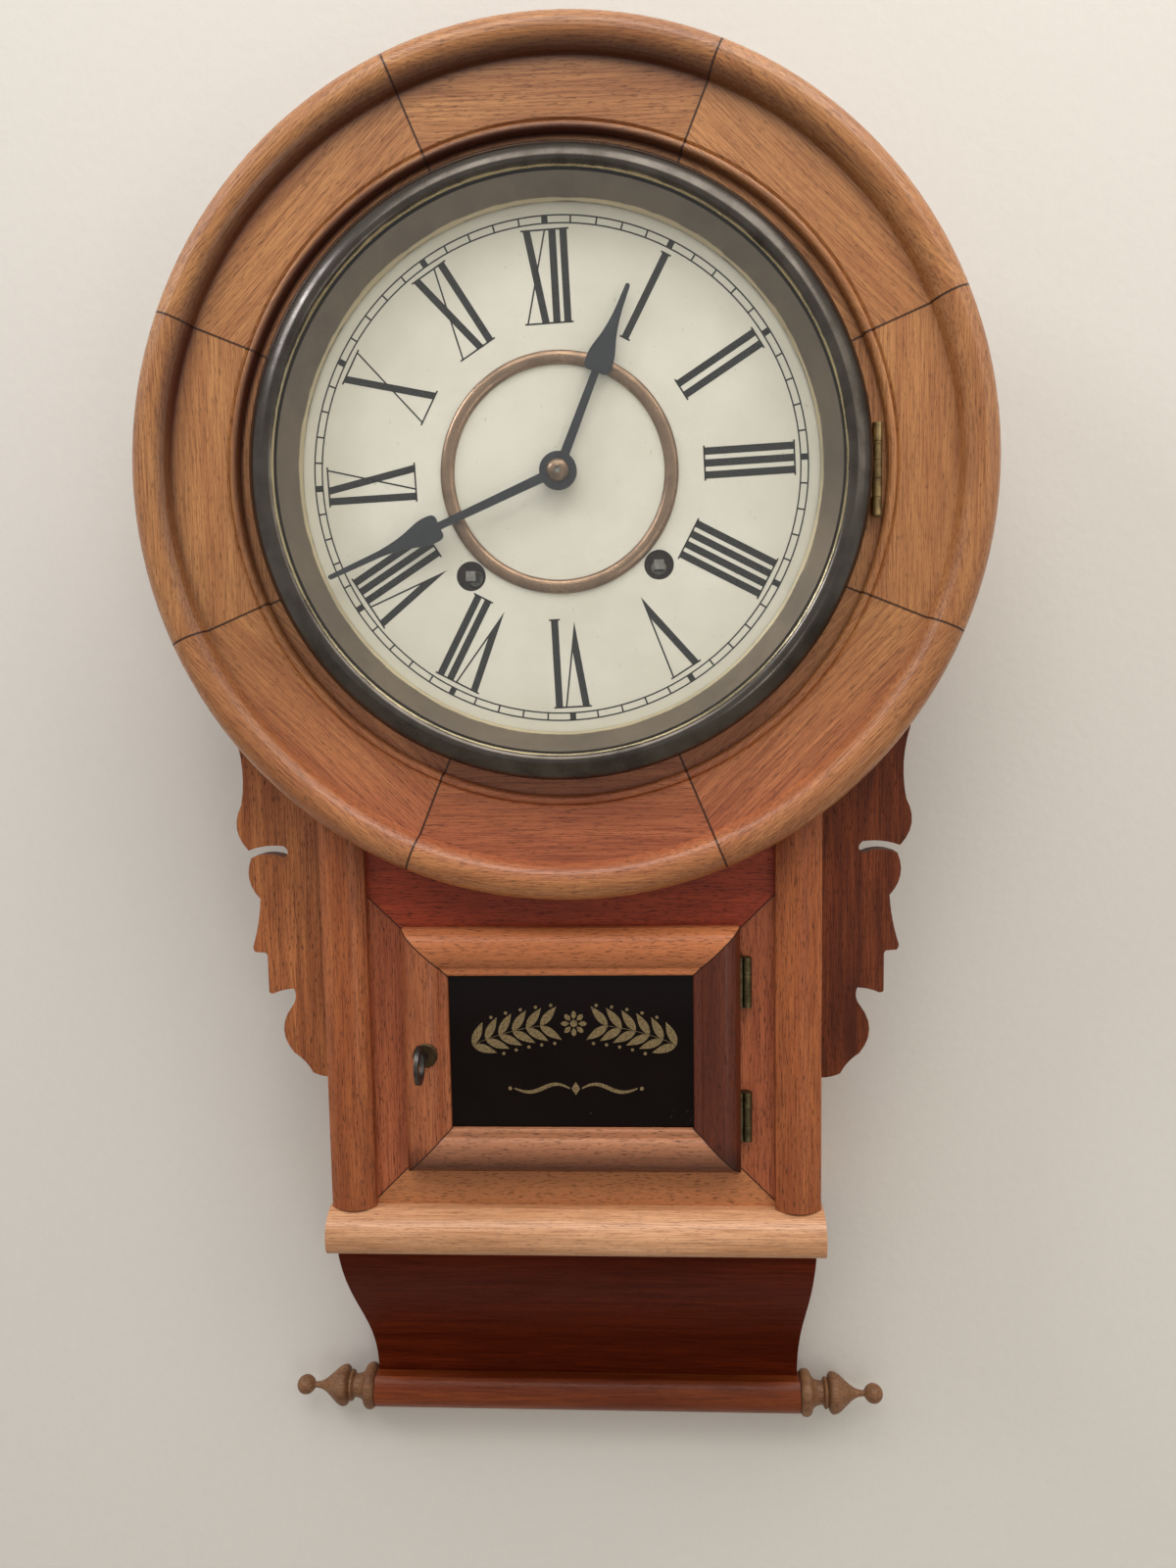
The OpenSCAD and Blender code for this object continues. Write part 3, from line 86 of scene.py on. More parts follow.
# %% [markdown]
# ## Helpers for materials
# A screen colour is stored on a curve, and light adds up on a straight scale, so each hex
# colour is turned from one to the other once. Every node is added by one small function
# that sets its settings and then links or fills its sockets. Sockets are given by name or
# in order: a Map Range node takes its value, the range it reads and the range it gives.
# Four recipes recur: a noise that drifts over so many millimetres, coats of colour laid one
# over another, the distance from the dial's axis, and a surface that is clear in places.

# %% Colour and node helpers
MATH, NOISE, MIX, RANGE = "ShaderNodeMath", "ShaderNodeTexNoise", "ShaderNodeMix", "ShaderNodeMapRange"
SPLIT, COMBINE, VECTOR = "ShaderNodeSeparateXYZ", "ShaderNodeCombineXYZ", "ShaderNodeVectorMath"
VECTOR_A, VECTOR_B, VECTOR_OUT = 4, 5, 1
COLOUR_A, COLOUR_B, COLOUR_OUT = 6, 7, 2


def linear(code):
    """An sRGB hex colour as the straight-scale RGBA that shaders use."""
    parts = [int(code[i:i + 2], 16) / 255 for i in (1, 3, 5)]
    return tuple(c / 12.92 if c <= 0.04045 else ((c + 0.055) / 1.055) ** 2.4 for c in parts) + (1,)


def fill(tree, node, sockets):
    """Links each socket that is given a node or an output, and writes the others' values."""
    for name, value in sockets.items() if isinstance(sockets, dict) else enumerate(sockets):
        if isinstance(value, bpy.types.Node):
            value = value.outputs[0]
        if isinstance(value, bpy.types.NodeSocket):
            tree.links.new(value, node.inputs[name])
        else:
            node.inputs[name].default_value = value


def add(tree, kind, sockets=(), operation=None, **settings):
    """Adds one node with its settings, and links or fills its sockets."""
    node = tree.nodes.new(kind)
    if operation:
        node.operation = operation
    for name, value in settings.items():
        setattr(node, name, value)
    fill(tree, node, sockets)
    return node


def finish_of(name):
    """An empty material with one shader, and the tree and shader to work on."""
    material = bpy.data.materials.new(name)
    material.use_nodes = True
    tree = material.node_tree
    tree.nodes.clear()
    shader = add(tree, "ShaderNodeBsdfPrincipled")
    add(tree, "ShaderNodeOutputMaterial", {"Surface": shader})
    return material, tree, shader


print("Linear value of mid grey:", round(linear("#808080")[0], 3))

# %% Recipes of several nodes
def object_mm(tree):
    """Object coordinates in millimetres."""
    place = add(tree, "ShaderNodeTexCoord").outputs["Object"]
    return add(tree, VECTOR, {0: place, "Scale": 1 / MM}, "SCALE")


def from_axis(tree, mm):
    """How far a point is from the dial's axis, in millimetres."""
    part = add(tree, SPLIT, (mm,)).outputs
    squares = [add(tree, MATH, (part[name], 2.0), "POWER") for name in "XZ"]
    return add(tree, MATH, (add(tree, MATH, squares, "ADD"),), "SQRT")


def drift(tree, place, size, low, high, most=1.0, detail=2.0, rough=0.5):
    """A noise of some size in mm, spread from 0 where it is low to most where it is high."""
    noise = add(tree, NOISE, {"Vector": place, "Scale": 1 / size, "Detail": detail, "Roughness": rough})
    return add(tree, RANGE, (noise, low, high, 0.0, most))


def coats(tree, ground, *layers):
    """Colours laid on a ground one after another; a layer is (share, colour, how it is laid)."""
    colour = linear(ground)
    for share, code, *how in layers:
        laid = add(tree, MIX, {0: share, COLOUR_A: colour, COLOUR_B: linear(code)},
                   data_type="RGBA", blend_type=how[0] if how else "MIX")
        colour = laid.outputs[COLOUR_OUT]
    return colour


def clear_where(tree, shader, factor):
    """Leaves the surface clear where the factor is 1."""
    both = add(tree, "ShaderNodeMixShader", (factor, shader, add(tree, "ShaderNodeBsdfTransparent")))
    fill(tree, tree.nodes["Material Output"], {"Surface": both})


# %% [markdown]
# ## Which way the grain runs
# Every board needs its own axis. A coordinate lookup does this for every point of one
# mesh, where cutting the mesh up would need new objects. Each layout gives the place
# along the grain, a factor for its glue lines if it has any, and a list of washes: a
# share, a colour and how it is laid on. A straight board is turned so that X lies along
# the grain.

# %% Straight boards
def turned_for(axis):
    """Layout of a straight board whose grain runs along X or Z."""
    def layout(tree):
        place = {"Vector": object_mm(tree), "Rotation": (0, math.pi / 2 if axis == "Z" else 0, 0)}
        return add(tree, "ShaderNodeMapping", place), None, []
    return layout


# %% [markdown]
# ## A mitred frame
# Two rails and two stiles meet at 45 degrees. A point lies on a stile where it is out to
# the side by more, beyond the corner's offset, than it is above or below the middle, so
# one comparison turns the grain there. Each member is then shifted by its own amount, so
# that no two look cut from the same stretch of board.

# %% Mitred frames
GLUE_HALF = 0.35  # half the width of a drawn glue line, mm
SIDE_SHIFT, LEVEL_SHIFT = 331.0, 173.0  # the grain's shift between stiles and between rails, mm
UNDERSIDE = (-58.0, -45.0)  # heights of full shade and of none, from the frame's middle, mm


def mitred(centre_z, corner, odd_members):
    """Layout of four mitred members round centre_z; corner is where a mitre leaves x = z.
    Each odd member is (top, bottom, right or underside; share; colour; how it is laid on); the underside is
    where shade is painted."""
    def layout(tree):
        mm = object_mm(tree)
        part = add(tree, SPLIT, (mm,)).outputs
        off_z = add(tree, MATH, (part["Z"], centre_z), "SUBTRACT")
        out = [add(tree, MATH, (length,), "ABSOLUTE") for length in (part["X"], off_z)]
        lean = add(tree, MATH, out, "SUBTRACT")
        stile = add(tree, MATH, (lean, corner), "GREATER_THAN")
        rail = add(tree, MATH, (1.0, stile), "SUBTRACT")
        upright = add(tree, COMBINE, (part["Z"], part["Y"], part["X"]))
        grain = add(tree, MIX, {0: stile, VECTOR_A: mm, VECTOR_B: upright}, data_type="VECTOR")
        side = add(tree, MATH, (part["X"],), "SIGN")
        side = add(tree, MATH, (side, stile), "MULTIPLY")
        level = add(tree, MATH, (off_z,), "SIGN")
        level = add(tree, MATH, (level, rail), "MULTIPLY")
        apart = add(tree, MATH, (level, LEVEL_SHIFT), "MULTIPLY")
        apart = add(tree, MATH, (side, SIDE_SHIFT, apart), "MULTIPLY_ADD")
        own = add(tree, COMBINE, (apart, apart))
        grain = add(tree, VECTOR, (grain.outputs[VECTOR_OUT], own), "ADD")
        gap = add(tree, MATH, (lean, corner), "SUBTRACT")
        gap = add(tree, MATH, (gap,), "ABSOLUTE")
        line = add(tree, RANGE, (gap, GLUE_HALF, 2 * GLUE_HALF, 1.0, 0.0))
        # The underside mask is painted shade along the frame's lowest edge, fading upwards.
        found = {"top": add(tree, MATH, (level, 0.5), "GREATER_THAN"),
                 "bottom": add(tree, MATH, (level, -0.5), "LESS_THAN"),
                 "right": add(tree, MATH, (side, 0.5), "GREATER_THAN"),
                 "underside": add(tree, RANGE, (off_z, *UNDERSIDE, 1.0, 0.0))}
        washes = [(add(tree, MATH, (found[member], share), "MULTIPLY"), colour, laid)
                  for member, share, colour, laid in odd_members]
        return grain, line, washes
    return layout


# %% [markdown]
# ## A ring of blocks
# The round surround is glued from eight blocks and turned. The angle round the dial tells
# the block, and the grain lies along that block's chord. Old stain has stayed dark in the
# two hollows of its section, and painted shade darkens them more, most of all above and to
# the left. Each block has a tone of its own, and the lower part a rosy cast that is weaker
# on the outer roll. A list of (radius, share) stops draws the stain and painted shade as rings.

# %% The turned surround's layout
BLOCKS, BLOCK_SHIFT = 8, 97.0  # the shift of the grain from block to block, mm
RING_REACH, FRONT_Y = 210.0, -82.0  # a radius past the ring; stain and painted shade lie only in front of this
# Stops of (radius in mm, share) for the stain and the painted shade in the hollows
STAIN_AND_SHADE = ((150, 0.15), (151.4, 0.95), (153, 0.95), (154.6, 0.35), (157, 0.1), (160, 0.0),
         (175, 0.0), (181, 0.3), (184.2, 0.9), (187, 0.65), (191, 0.1), (203, 0.05))


def ring_of_blocks(tree):
    """Layout of a turned ring glued from blocks, with stain and painted shade in its two hollows."""
    step = math.tau / BLOCKS
    mm = object_mm(tree)
    part = add(tree, SPLIT, (mm,)).outputs
    radius = from_axis(tree, mm)
    angle = add(tree, MATH, (part["Z"], part["X"]), "ARCTAN2")
    angle = add(tree, MATH, (angle, step / 2), "SUBTRACT")
    turns = add(tree, MATH, (angle, step), "DIVIDE")
    block = add(tree, MATH, (turns,), "FLOOR")
    middle = add(tree, MATH, (block, step, step), "MULTIPLY_ADD")
    chord = add(tree, MATH, (middle, math.pi / 2), "ADD")
    grain = add(tree, "ShaderNodeVectorRotate", {"Vector": mm, "Angle": chord}, rotation_type="Y_AXIS")
    block = add(tree, MATH, (block, float(BLOCKS)), "FLOORED_MODULO")
    own = add(tree, MATH, (block, BLOCK_SHIFT), "MULTIPLY")
    grain = add(tree, VECTOR, (grain, add(tree, COMBINE, (own, own, own))), "ADD")

    share = add(tree, MATH, (turns,), "FRACT")
    other = add(tree, MATH, (1.0, share), "SUBTRACT")
    gap = add(tree, MATH, (share, other), "MINIMUM")
    gap = add(tree, MATH, (gap, step), "MULTIPLY")
    gap = add(tree, MATH, (gap, radius), "MULTIPLY")
    line = add(tree, RANGE, (gap, GLUE_HALF, 2.2 * GLUE_HALF, 1.0, 0.0))

    reach = add(tree, MATH, (radius, RING_REACH), "DIVIDE")
    hollows = add(tree, "ShaderNodeValToRGB", (reach,))
    for at, value in STAIN_AND_SHADE:
        hollows.color_ramp.elements.new(at / RING_REACH).color = (value, value, value, 1)
    hollows.color_ramp.elements.remove(hollows.color_ramp.elements[-1])
    # Painted shade: the hollows are darkest above and to the left.
    upper_left = add(tree, MATH, (part["X"], -0.6, part["Z"]), "MULTIPLY_ADD")
    above = add(tree, RANGE, (upper_left, -60.0, 150.0, 0.05, 1.0))
    odd = add(tree, MATH, (block, 0.618), "MULTIPLY")
    odd = add(tree, MATH, (odd,), "FRACT")
    odd = add(tree, MATH, (odd, 0.16), "MULTIPLY")
    stain_shade_and_tone = add(tree, MATH, (hollows, above, odd), "MULTIPLY_ADD")
    front = add(tree, MATH, (part["Y"], FRONT_Y), "LESS_THAN")
    stain_shade_and_tone = add(tree, MATH, (stain_shade_and_tone, front), "MULTIPLY")
    low = add(tree, RANGE, (part["Z"], -170.0, -70.0, 1.0, 0.0))
    inner = add(tree, RANGE, (radius, 183.0, 192.0, 1.0, 0.3))
    low = add(tree, MATH, (low, inner), "MULTIPLY")
    return grain, line, [(stain_shade_and_tone, "#451A09", "MIX"), (low, "#F7CFDD", "MULTIPLY")]


print("Stain stops at radii in mm:", [at for at, value in STAIN_AND_SHADE])

# %% [markdown]
# ## The wood
# The case is an open-pored reddish tropical hardwood under old satin varnish. Up close it
# shows broad soft bands, fine fibres and short dark pores. Three noises stretched along
# the grain give these, each at its real size: bands about 7 mm wide, fibres about 0.6 mm.
# Real pores are 0.2 mm wide, too fine to show here, so they are drawn 0.4 mm wide. The
# varnish is a thin coat over the colour, and pores sink a little in the bump.

# %% Wood finish
PORE_SHADE, PORE_DEPTH = "#2A0D05", 0.06  # mm


def wood(name, pale, middle, deep, layout, rough=0.42, coat=0.12, pore_share=1.0, gloss=0.3, seed=0.0):
    """One varnished wood: three tones, a grain layout and how much it shines."""
    material, tree, shader = finish_of(name)
    grain, line, washes = layout(tree)

    def grained(length, width, detail, low, high, shift=0.0):
        """Noise stretched along the grain, so many mm long and wide."""
        stretched = add(tree, "ShaderNodeMapping", {
            "Vector": grain, "Scale": (1 / length, 1 / width, 1 / width),
            "Location": (seed + shift, shift, seed)})
        return drift(tree, stretched, 1.0, low, high, detail=detail, rough=0.55)

    bands = grained(110, 7, 2.0, 0.32, 0.68)
    fibres = grained(24, 0.65, 3.0, 0.42, 0.68, 5.0)
    pores = grained(4.5, 0.38, 1.0, 0.59, 0.68, 9.0)
    clouds = grained(160, 60, 1.0, 0.35, 0.65, 13.0)
    worn, dark, sunk = (add(tree, MATH, (noise, most), "MULTIPLY")
                        for noise, most in ((clouds, 0.30), (fibres, 0.66), (pores, 0.75 * pore_share)))
    layers = [(bands, pale), (worn, deep), (dark, deep), *washes, (sunk, PORE_SHADE)]
    if line is not None:
        layers.append((add(tree, MATH, (line, 0.8), "MULTIPLY"), PORE_SHADE))
    dull = add(tree, RANGE, (pores, 0.0, 1.0, rough, rough + 0.3))
    dull = add(tree, MATH, (fibres, 0.08, dull), "MULTIPLY_ADD")
    hollow = add(tree, MATH, (fibres, 0.25, pores), "MULTIPLY_ADD")
    relief = add(tree, MATH, (1.0, hollow), "SUBTRACT")
    bump = add(tree, "ShaderNodeBump", {"Height": relief, "Distance": PORE_DEPTH * MM, "Strength": 0.6})
    fill(tree, shader, {"Base Color": coats(tree, middle, *layers), "Roughness": dull, "Normal": bump,
                        "Specular IOR Level": gloss, "Coat Weight": coat, "Coat Roughness": 0.22, "IOR": 1.5})
    return material


def dress(material, *names):
    """Gives a finish to every slot of the named solids."""
    for name in names:
        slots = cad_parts[name].data.materials
        for i in range(len(slots)):
            slots[i] = material
    print(material.name, "on", ", ".join(names))


# %% The front of the case
# Turned and thickly varnished: long soft highlights follow its rolls, over warm brown grain.
dress(wood("Satin varnished hardwood, turned surround", "#D3965C", "#BA7C4A", "#743C1C", ring_of_blocks,
           rough=0.40, coat=0.45, pore_share=0.7), "surround")
# Planed and red stained: flat and even, and paler on the bottom rail. The top rail is darker and redder with
# painted shade, the shadow of the surround above it.
FRAME_MIDDLE, FRAME_CORNER = -283.0, 23.0
dress(wood("Red stained hardwood, front frame", "#BB6B44", "#A45735", "#652712",
           mitred(FRAME_MIDDLE, FRAME_CORNER, [
               ("top", 0.9, "#E89A7C", "MULTIPLY"), ("bottom", 0.45, "#D99A64", "MIX")]),
           seed=3.0), "front_frame")
# Straight upright grain with open pores: fine dark dashes that run down the board.
dress(wood("Satin varnished hardwood, pilasters", "#B96D3D", "#A05730", "#642A14", turned_for("Z"), seed=7.0),
      "left_pilaster", "right_pilaster")
# Moulded: the lightest wood of the front, with a bright varnished edge. Its pale tone is partly its own and
# partly a painted highlight from the light above.
dress(wood("Satin varnished hardwood, waist moulding", "#EAB48A", "#D0976A", "#93603A", turned_for("X"),
           rough=0.38, coat=0.4, pore_share=0.5, seed=11.0), "waist_moulding")
# Four members from different boards: each side of the door has a tone of its own, and painted shade darkens
# the lowest edge of the bottom rail.
DOOR_MIDDLE, DOOR_CORNER = -282.25, 21.75
dress(wood("Satin varnished hardwood, door frame", "#C4784C", "#A8603C", "#6E341D",
           mitred(DOOR_MIDDLE, DOOR_CORNER, [
               ("right", 0.95, "#8A6A66", "MULTIPLY"), ("top", 0.4, "#DC8A56", "MIX"),
               ("bottom", 0.5, "#A87C5E", "MIX"), ("underside", 0.9, "#7E6660", "MULTIPLY")]),
           seed=15.0), "door_frame")
# Dark stained and matt, without varnish: a deep red brown with hardly any shine.
dress(wood("Red brown hardwood, ogee front", "#702A12", "#591D0B", "#350F06", turned_for("X"), rough=0.38,
           coat=0.0, pore_share=0.4, gloss=0.02, seed=19.0), "base_front", "base_cheeks")
# Turned round: a thin coat gives one narrow highlight along it.
dress(wood("Red brown hardwood, turned rail", "#94481F", "#7C3516", "#4A1B0A", turned_for("X"), rough=0.34,
           coat=0.1, pore_share=0.4, gloss=0.2, seed=21.0), "bottom_rail")
# Handled and worn: dull, greyed and pale.
dress(wood("Pale worn hardwood, turned finials", "#9C7350", "#82573A", "#51301C", turned_for("X"), rough=0.5,
           coat=0.1, seed=23.0), "left_finial", "right_finial")
# Sawn out and varnished: upright grain, orange brown on the left. The right ear is dark, partly its own tone
# and partly painted shade on the side away from the light.
dress(wood("Varnished hardwood, left ear", "#C67C49", "#98532D", "#552812", turned_for("Z"), seed=27.0),
      "left_ear")
dress(wood("Dark varnished hardwood, right ear", "#8E4726", "#5E2712", "#311307", turned_for("Z"), gloss=0.15,
           seed=31.0), "right_ear")

# %% The boards behind
# Planed and only oiled: a plain brown without a highlight.
OILED = "#A5633C", "#8A492A", "#552713"
dress(wood("Plain oiled hardwood, case boards", *OILED, turned_for("Z"), rough=0.5, seed=35.0),
      "left_side_board", "right_side_board")
dress(wood("Plain oiled hardwood, top and bottom", *OILED, turned_for("X"), rough=0.5, seed=39.0),
      "top_board", "bottom_board")
# Sawn and bare: pale, dry and matt.
dress(wood("Bare softwood, back board", "#A9825C", "#94704D", "#6C4B2F", turned_for("Z"), rough=0.65,
           coat=0.0, seed=43.0), "back_board")

# %% [markdown]
# ## The metals
# Old clock metal is never even. Each metal starts from its real colour and polish, and
# two noises change it: a soft cloud for tarnish, a fine one for the grain that a file or
# a brush left. Tarnish also dulls the shine, so the same cloud drives the roughness. Real
# brush marks are under 0.1 mm wide, so they are drawn 0.7 mm wide to show.

# %% Metal finish
GRAIN_MM, SCRATCH = 0.7, 0.03  # width and depth of the brush marks, mm


def metal(name, bright, tarnished, rough, cloud_mm=14.0, change=0.6, metallic=1.0, edge=None):
    """A metal with tarnish clouds; edge is (radius, width, colour) of a lighter line round the dial: rubbed
    metal on the bezel, and on the sight ring partly polished metal and partly a painted highlight.
    """
    material, tree, shader = finish_of(name)
    mm = object_mm(tree)
    cloud = drift(tree, mm, cloud_mm, 0.38, 0.66, most=change, detail=4.0, rough=0.6)
    fine = add(tree, NOISE, {"Vector": mm, "Scale": 1 / GRAIN_MM, "Detail": 2.0})
    layers = [(cloud, tarnished)]
    if edge:  # the lighter line is wider where there is less tarnish
        radius, width, rubbed = edge
        off = add(tree, MATH, (from_axis(tree, mm), radius), "SUBTRACT")
        off = add(tree, MATH, (off,), "ABSOLUTE")
        uneven = add(tree, MATH, (cloud, 0.3), "SUBTRACT")
        off = add(tree, MATH, (uneven, 0.8, off), "MULTIPLY_ADD")
        layers.append((add(tree, RANGE, (off, width * 0.5, width, 1.0, 0.0)), rubbed))
    dull = add(tree, MATH, (cloud, 0.18, rough - 0.05), "MULTIPLY_ADD")
    dull = add(tree, MATH, (fine, 0.1, dull), "MULTIPLY_ADD")
    bump = add(tree, "ShaderNodeBump", {"Height": fine, "Distance": SCRATCH * MM, "Strength": 0.5})
    fill(tree, shader, {"Base Color": coats(tree, bright, *layers), "Roughness": dull, "Normal": bump,
                        "Metallic": metallic})
    return material


# %% Metals round the dial
# Spun and nearly black with oxide: it mirrors the window as one cool band, and its inner
# edge is rubbed bright.
bezel_brass = metal("Brass, dark oxidised bezel", "#5A5550", "#2E2925", 0.20, 20.0,
                    edge=(131.2, 0.5, "#B5A888"))
dress(bezel_brass, "bezel_ring")
# Turned and gone dull: a soft grey-brown ring whose inner edge is lighter, partly polished metal and partly a
# painted highlight along its rounded rim.
dress(metal("Brass, dull sight ring", "#7F7262", "#62564A", 0.34, 24.0, edge=(121.9, 0.8, "#D6C8A8")),
      "sight_ring")
# Worn plating: a brown ring with a smeared shine.
dress(metal("Copper plate, brown centre ring", "#9A7E68", "#614C40", 0.27, 12.0), "centre_ring")
# Blued and then dulled: almost black, with a cold grey sheen where light grazes it.
dress(metal("Steel, blued hands", "#2B2E36", "#17191E", 0.38, 10.0, metallic=0.7), "hour_hand", "minute_hand")
# Turned and handled: a warm brown dome with one small highlight.
dress(metal("Brass, brown hand nut", "#8C7561", "#4E3E34", 0.30, 3.0, change=0.7), "hand_nut")

# %% Hinges, lock and key
# Stamped and never polished since: patchy olive brown.
dress(metal("Brass, worn olive hinges", "#6A6046", "#3C3524", 0.42, 5.0, change=0.9),
      "door_hinge_door_leaves", "door_hinge_case_leaves")
# Rubbed each time the bezel is opened: bare yellow brass shows between brown patches.
dress(metal("Brass, rubbed bezel hinge", "#A08A62", "#5A4A34", 0.36, 6.0, change=0.9),
      "bezel_hinge_door_leaf", "bezel_hinge_case_leaf")
# Cast and patinated: a dull dark brown.
dress(metal("Bronze, dark lock plate", "#5B4A35", "#33291E", 0.42, 4.0, change=0.8), "door_lock", "lock_cam")
# Forged and worn by hands: dark grey with small brighter spots.
dress(metal("Steel, dark worn key", "#5A5855", "#33302E", 0.38, 4.0, change=0.8), "door_key")

# %% Movement, pendulum and strike
# Cut from polished plate under lacquer: clear yellow, kept bright inside the case.
dress(metal("Brass, lacquered movement", "#C9A75C", "#9C7C40", 0.28, 16.0), "movement_back_plate",
      "movement_front_plate", "movement_pillars", "time_great_wheel", "strike_great_wheel", "second_wheel",
      "centre_wheel", "third_wheel", "escape_wheel", "minute_wheel", "hour_wheel", "suspension_cock",
      "hanger_plate")
# Turned bright: light grey with sharp highlights.
dress(metal("Steel, turned arbors", "#9C9A96", "#6E6A65", 0.25, 5.0), "time_winding_arbor",
      "strike_winding_arbor", "anchor", "centre_arbor", "strike_hammer", "wood_screws")
# Tempered to blue: a clear blue-grey shine.
dress(metal("Steel, blued springs", "#4A5566", "#2C3440", 0.28, 8.0), "mainsprings", "suspension_spring",
      "gong_coil")
# Polished sheet brass: the brightest yellow, nearly a mirror.
dress(metal("Brass, polished bob and rod", "#D2B064", "#A88848", 0.18, 18.0), "pendulum_bob", "rating_nut",
      "pendulum_rod")
# Sand cast and blackened: matt black without a highlight.
dress(metal("Cast iron, black gong post", "#2A2A2A", "#1A1A1A", 0.6, 4.0, metallic=0.4), "gong_block")

# %% [markdown]
# ## Dial paint and the two glasses
# The dial is cream paint on a thin metal plate, laid a little darker than the paint itself as
# painted shade under the glass and bezel. Age shows as a faint brown cloud, and the paint is
# slightly darker towards its rim. The dial's glass is clear: light has to reach the dial
# through it, so a ray that only asks for shadow passes straight on. The pane of the lower
# door is backed with near-black paint, so it is an opaque dark surface under a glassy shine.

# %% Dial paint and glass
def dial_paint():
    """Aged cream paint, laid a little darker as painted shade: a satin surface whose colour drifts over some
    40 mm.
    """
    material, tree, shader = finish_of("Aged cream dial paint")
    mm = object_mm(tree)
    cloud = drift(tree, mm, 40.0, 0.35, 0.7, most=0.8, detail=5.0, rough=0.6)
    rim = add(tree, RANGE, (from_axis(tree, mm), 90.0, 126.0, 0.0, 0.55))
    specks = drift(tree, mm, 2.2, 0.74, 0.80, most=0.35, detail=1.0)
    dull = add(tree, MATH, (cloud, 0.1, 0.42), "MULTIPLY_ADD")
    # The cream is laid darker than the paint as painted shade; the rim darkens from 90 mm outwards.
    colour = coats(tree, "#D3CEC3", (cloud, "#C5C0B2"), (rim, "#B8B2A1"), (specks, "#8A7C62"))
    fill(tree, shader, {"Base Color": colour, "Roughness": dull})
    return material


def clear_glass():
    """Clear drawn glass: the dial shows through it and the room is mirrored faintly on it.
    Shadow rays pass, so the lamps light the dial behind it."""
    material, tree, shader = finish_of("Clear window glass")
    fill(tree, shader, {"Base Color": linear("#F6F8F5"), "Roughness": 0.0, "IOR": 1.52,
                        "Transmission Weight": 1.0})
    clear_where(tree, shader, add(tree, "ShaderNodeLightPath").outputs["Is Shadow Ray"])
    return material


def dark_glass():
    """A pane painted near-black on its back: a dark calm field for the gilding, with a few
    flakes of paint lost near its lower corner."""
    material, tree, shader = finish_of("Pane backed with dark paint")
    mm = object_mm(tree)
    cloud = add(tree, NOISE, {"Vector": mm, "Scale": 1 / 30.0, "Detail": 3.0})
    flake = add(tree, NOISE, {"Vector": mm, "Scale": 1 / 1.4, "Detail": 2.0})
    part = add(tree, SPLIT, (mm,)).outputs
    corner = add(tree, MATH, (part["X"], part["Z"]), "SUBTRACT")
    near = add(tree, RANGE, (corner, 345.0, 385.0, 0.12, 0.0))
    lost = add(tree, MATH, (flake, near), "SUBTRACT")
    lost = add(tree, MATH, (lost, 0.66), "GREATER_THAN")
    lost = add(tree, MATH, (lost, 0.5), "MULTIPLY")
    dull = add(tree, MATH, (cloud, 0.06, 0.08), "MULTIPLY_ADD")
    fill(tree, shader, {"Base Color": coats(tree, "#0A0505", (cloud, "#120807"), (lost, "#8A7C72")),
                        "Roughness": dull, "Specular IOR Level": 0.12, "IOR": 1.52})
    return material


dress(dial_paint(), "dial_plate")
dress(clear_glass(), "bezel_glass")
dress(dark_glass(), "door_glass")

# %% [markdown]
# ## Printed dial
# The dial carries black printed Roman numerals, set radially with their heads outwards,
# inside a closed minute track. They could be an image, but a mesh keeps its edge at any
# distance. Each stroke is a very thin closed prism that stands a few hundredths of a
# millimetre on the paint, as printing ink does. An outline is written as (x, z) points, and
# one function makes a thin plate of any list of them.

# %% Thin plates from outlines
def set_piece(name, mesh, body):
    """Sets a mesh on a body of the clock as a piece of its own."""
    piece = linked(name, mesh)
    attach(piece, body)
    print(name, "has", len(mesh.polygons), "faces")
    return piece


def keep_piece(name, points, faces, material, body):
    """A piece made of points in metres and faces."""
    mesh = bpy.data.meshes.new(name)
    mesh.from_pydata(points, [], faces)
    mesh.materials.append(material)
    return set_piece(name, mesh, body)


def outward(outline):
    """The outline in the order that makes its faces point outwards."""
    area = sum(a[0] * b[1] - b[0] * a[1] for a, b in zip(outline, outline[1:] + outline[:1]))
    return outline if area > 0 else outline[::-1]


def prism_faces(first, n):
    """The faces of a prism whose n front points start at first and whose back ones follow."""
    ends = [[first + i for i in range(n)], [first + n + i for i in reversed(range(n))]]
    return ends + [[first + i, first + n + i, first + n + (i + 1) % n, first + (i + 1) % n] for i in range(n)]


def plates(name, outlines, back, front, material, body):
    """Closed thin prisms between two depths from the wall, one for each outline."""
    points, faces = [], []
    for outline in outlines:
        faces += prism_faces(len(points), len(outline))
        for depth in (front, back):
            points += [(x * MM, -depth * MM, z * MM) for x, z in outward(outline)]
    return keep_piece(name, points, faces, material, body)


def flat_finish(name, one, other, cloud_mm, rough, metallic=0.0):
    """A matt finish of two close colours that drift into each other over cloud_mm."""
    material, tree, shader = finish_of(name)
    lay = drift(tree, object_mm(tree), cloud_mm, 0.4, 0.7, detail=3.0)
    dull = add(tree, MATH, (lay, 0.15, rough), "MULTIPLY_ADD")
    fill(tree, shader, {"Base Color": coats(tree, one, (lay, other)), "Roughness": dull,
                        "Specular IOR Level": 0.2, "Metallic": metallic})
    return material


# Printed in one even film: a flat black that is a little grey where it is thin.
dial_ink = flat_finish("Black printing ink", "#0C0D0F", "#17181A", 3.0, 0.55)
dial_front = -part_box("dial_plate")[0].y / MM
print("Dial face is", round(dial_front, 2), "mm from the wall")

# %% [markdown]
# ## Numerals
# Each letter is a few straight strokes, thick or thin as a pen held at one angle leaves
# them, and thin serifs join their feet and heads. A stroke is written with its places
# across the numeral and its heights as a share of the whole, then laid along the spoke of
# its hour. The printed ring is turned a little to the left, and so are these.

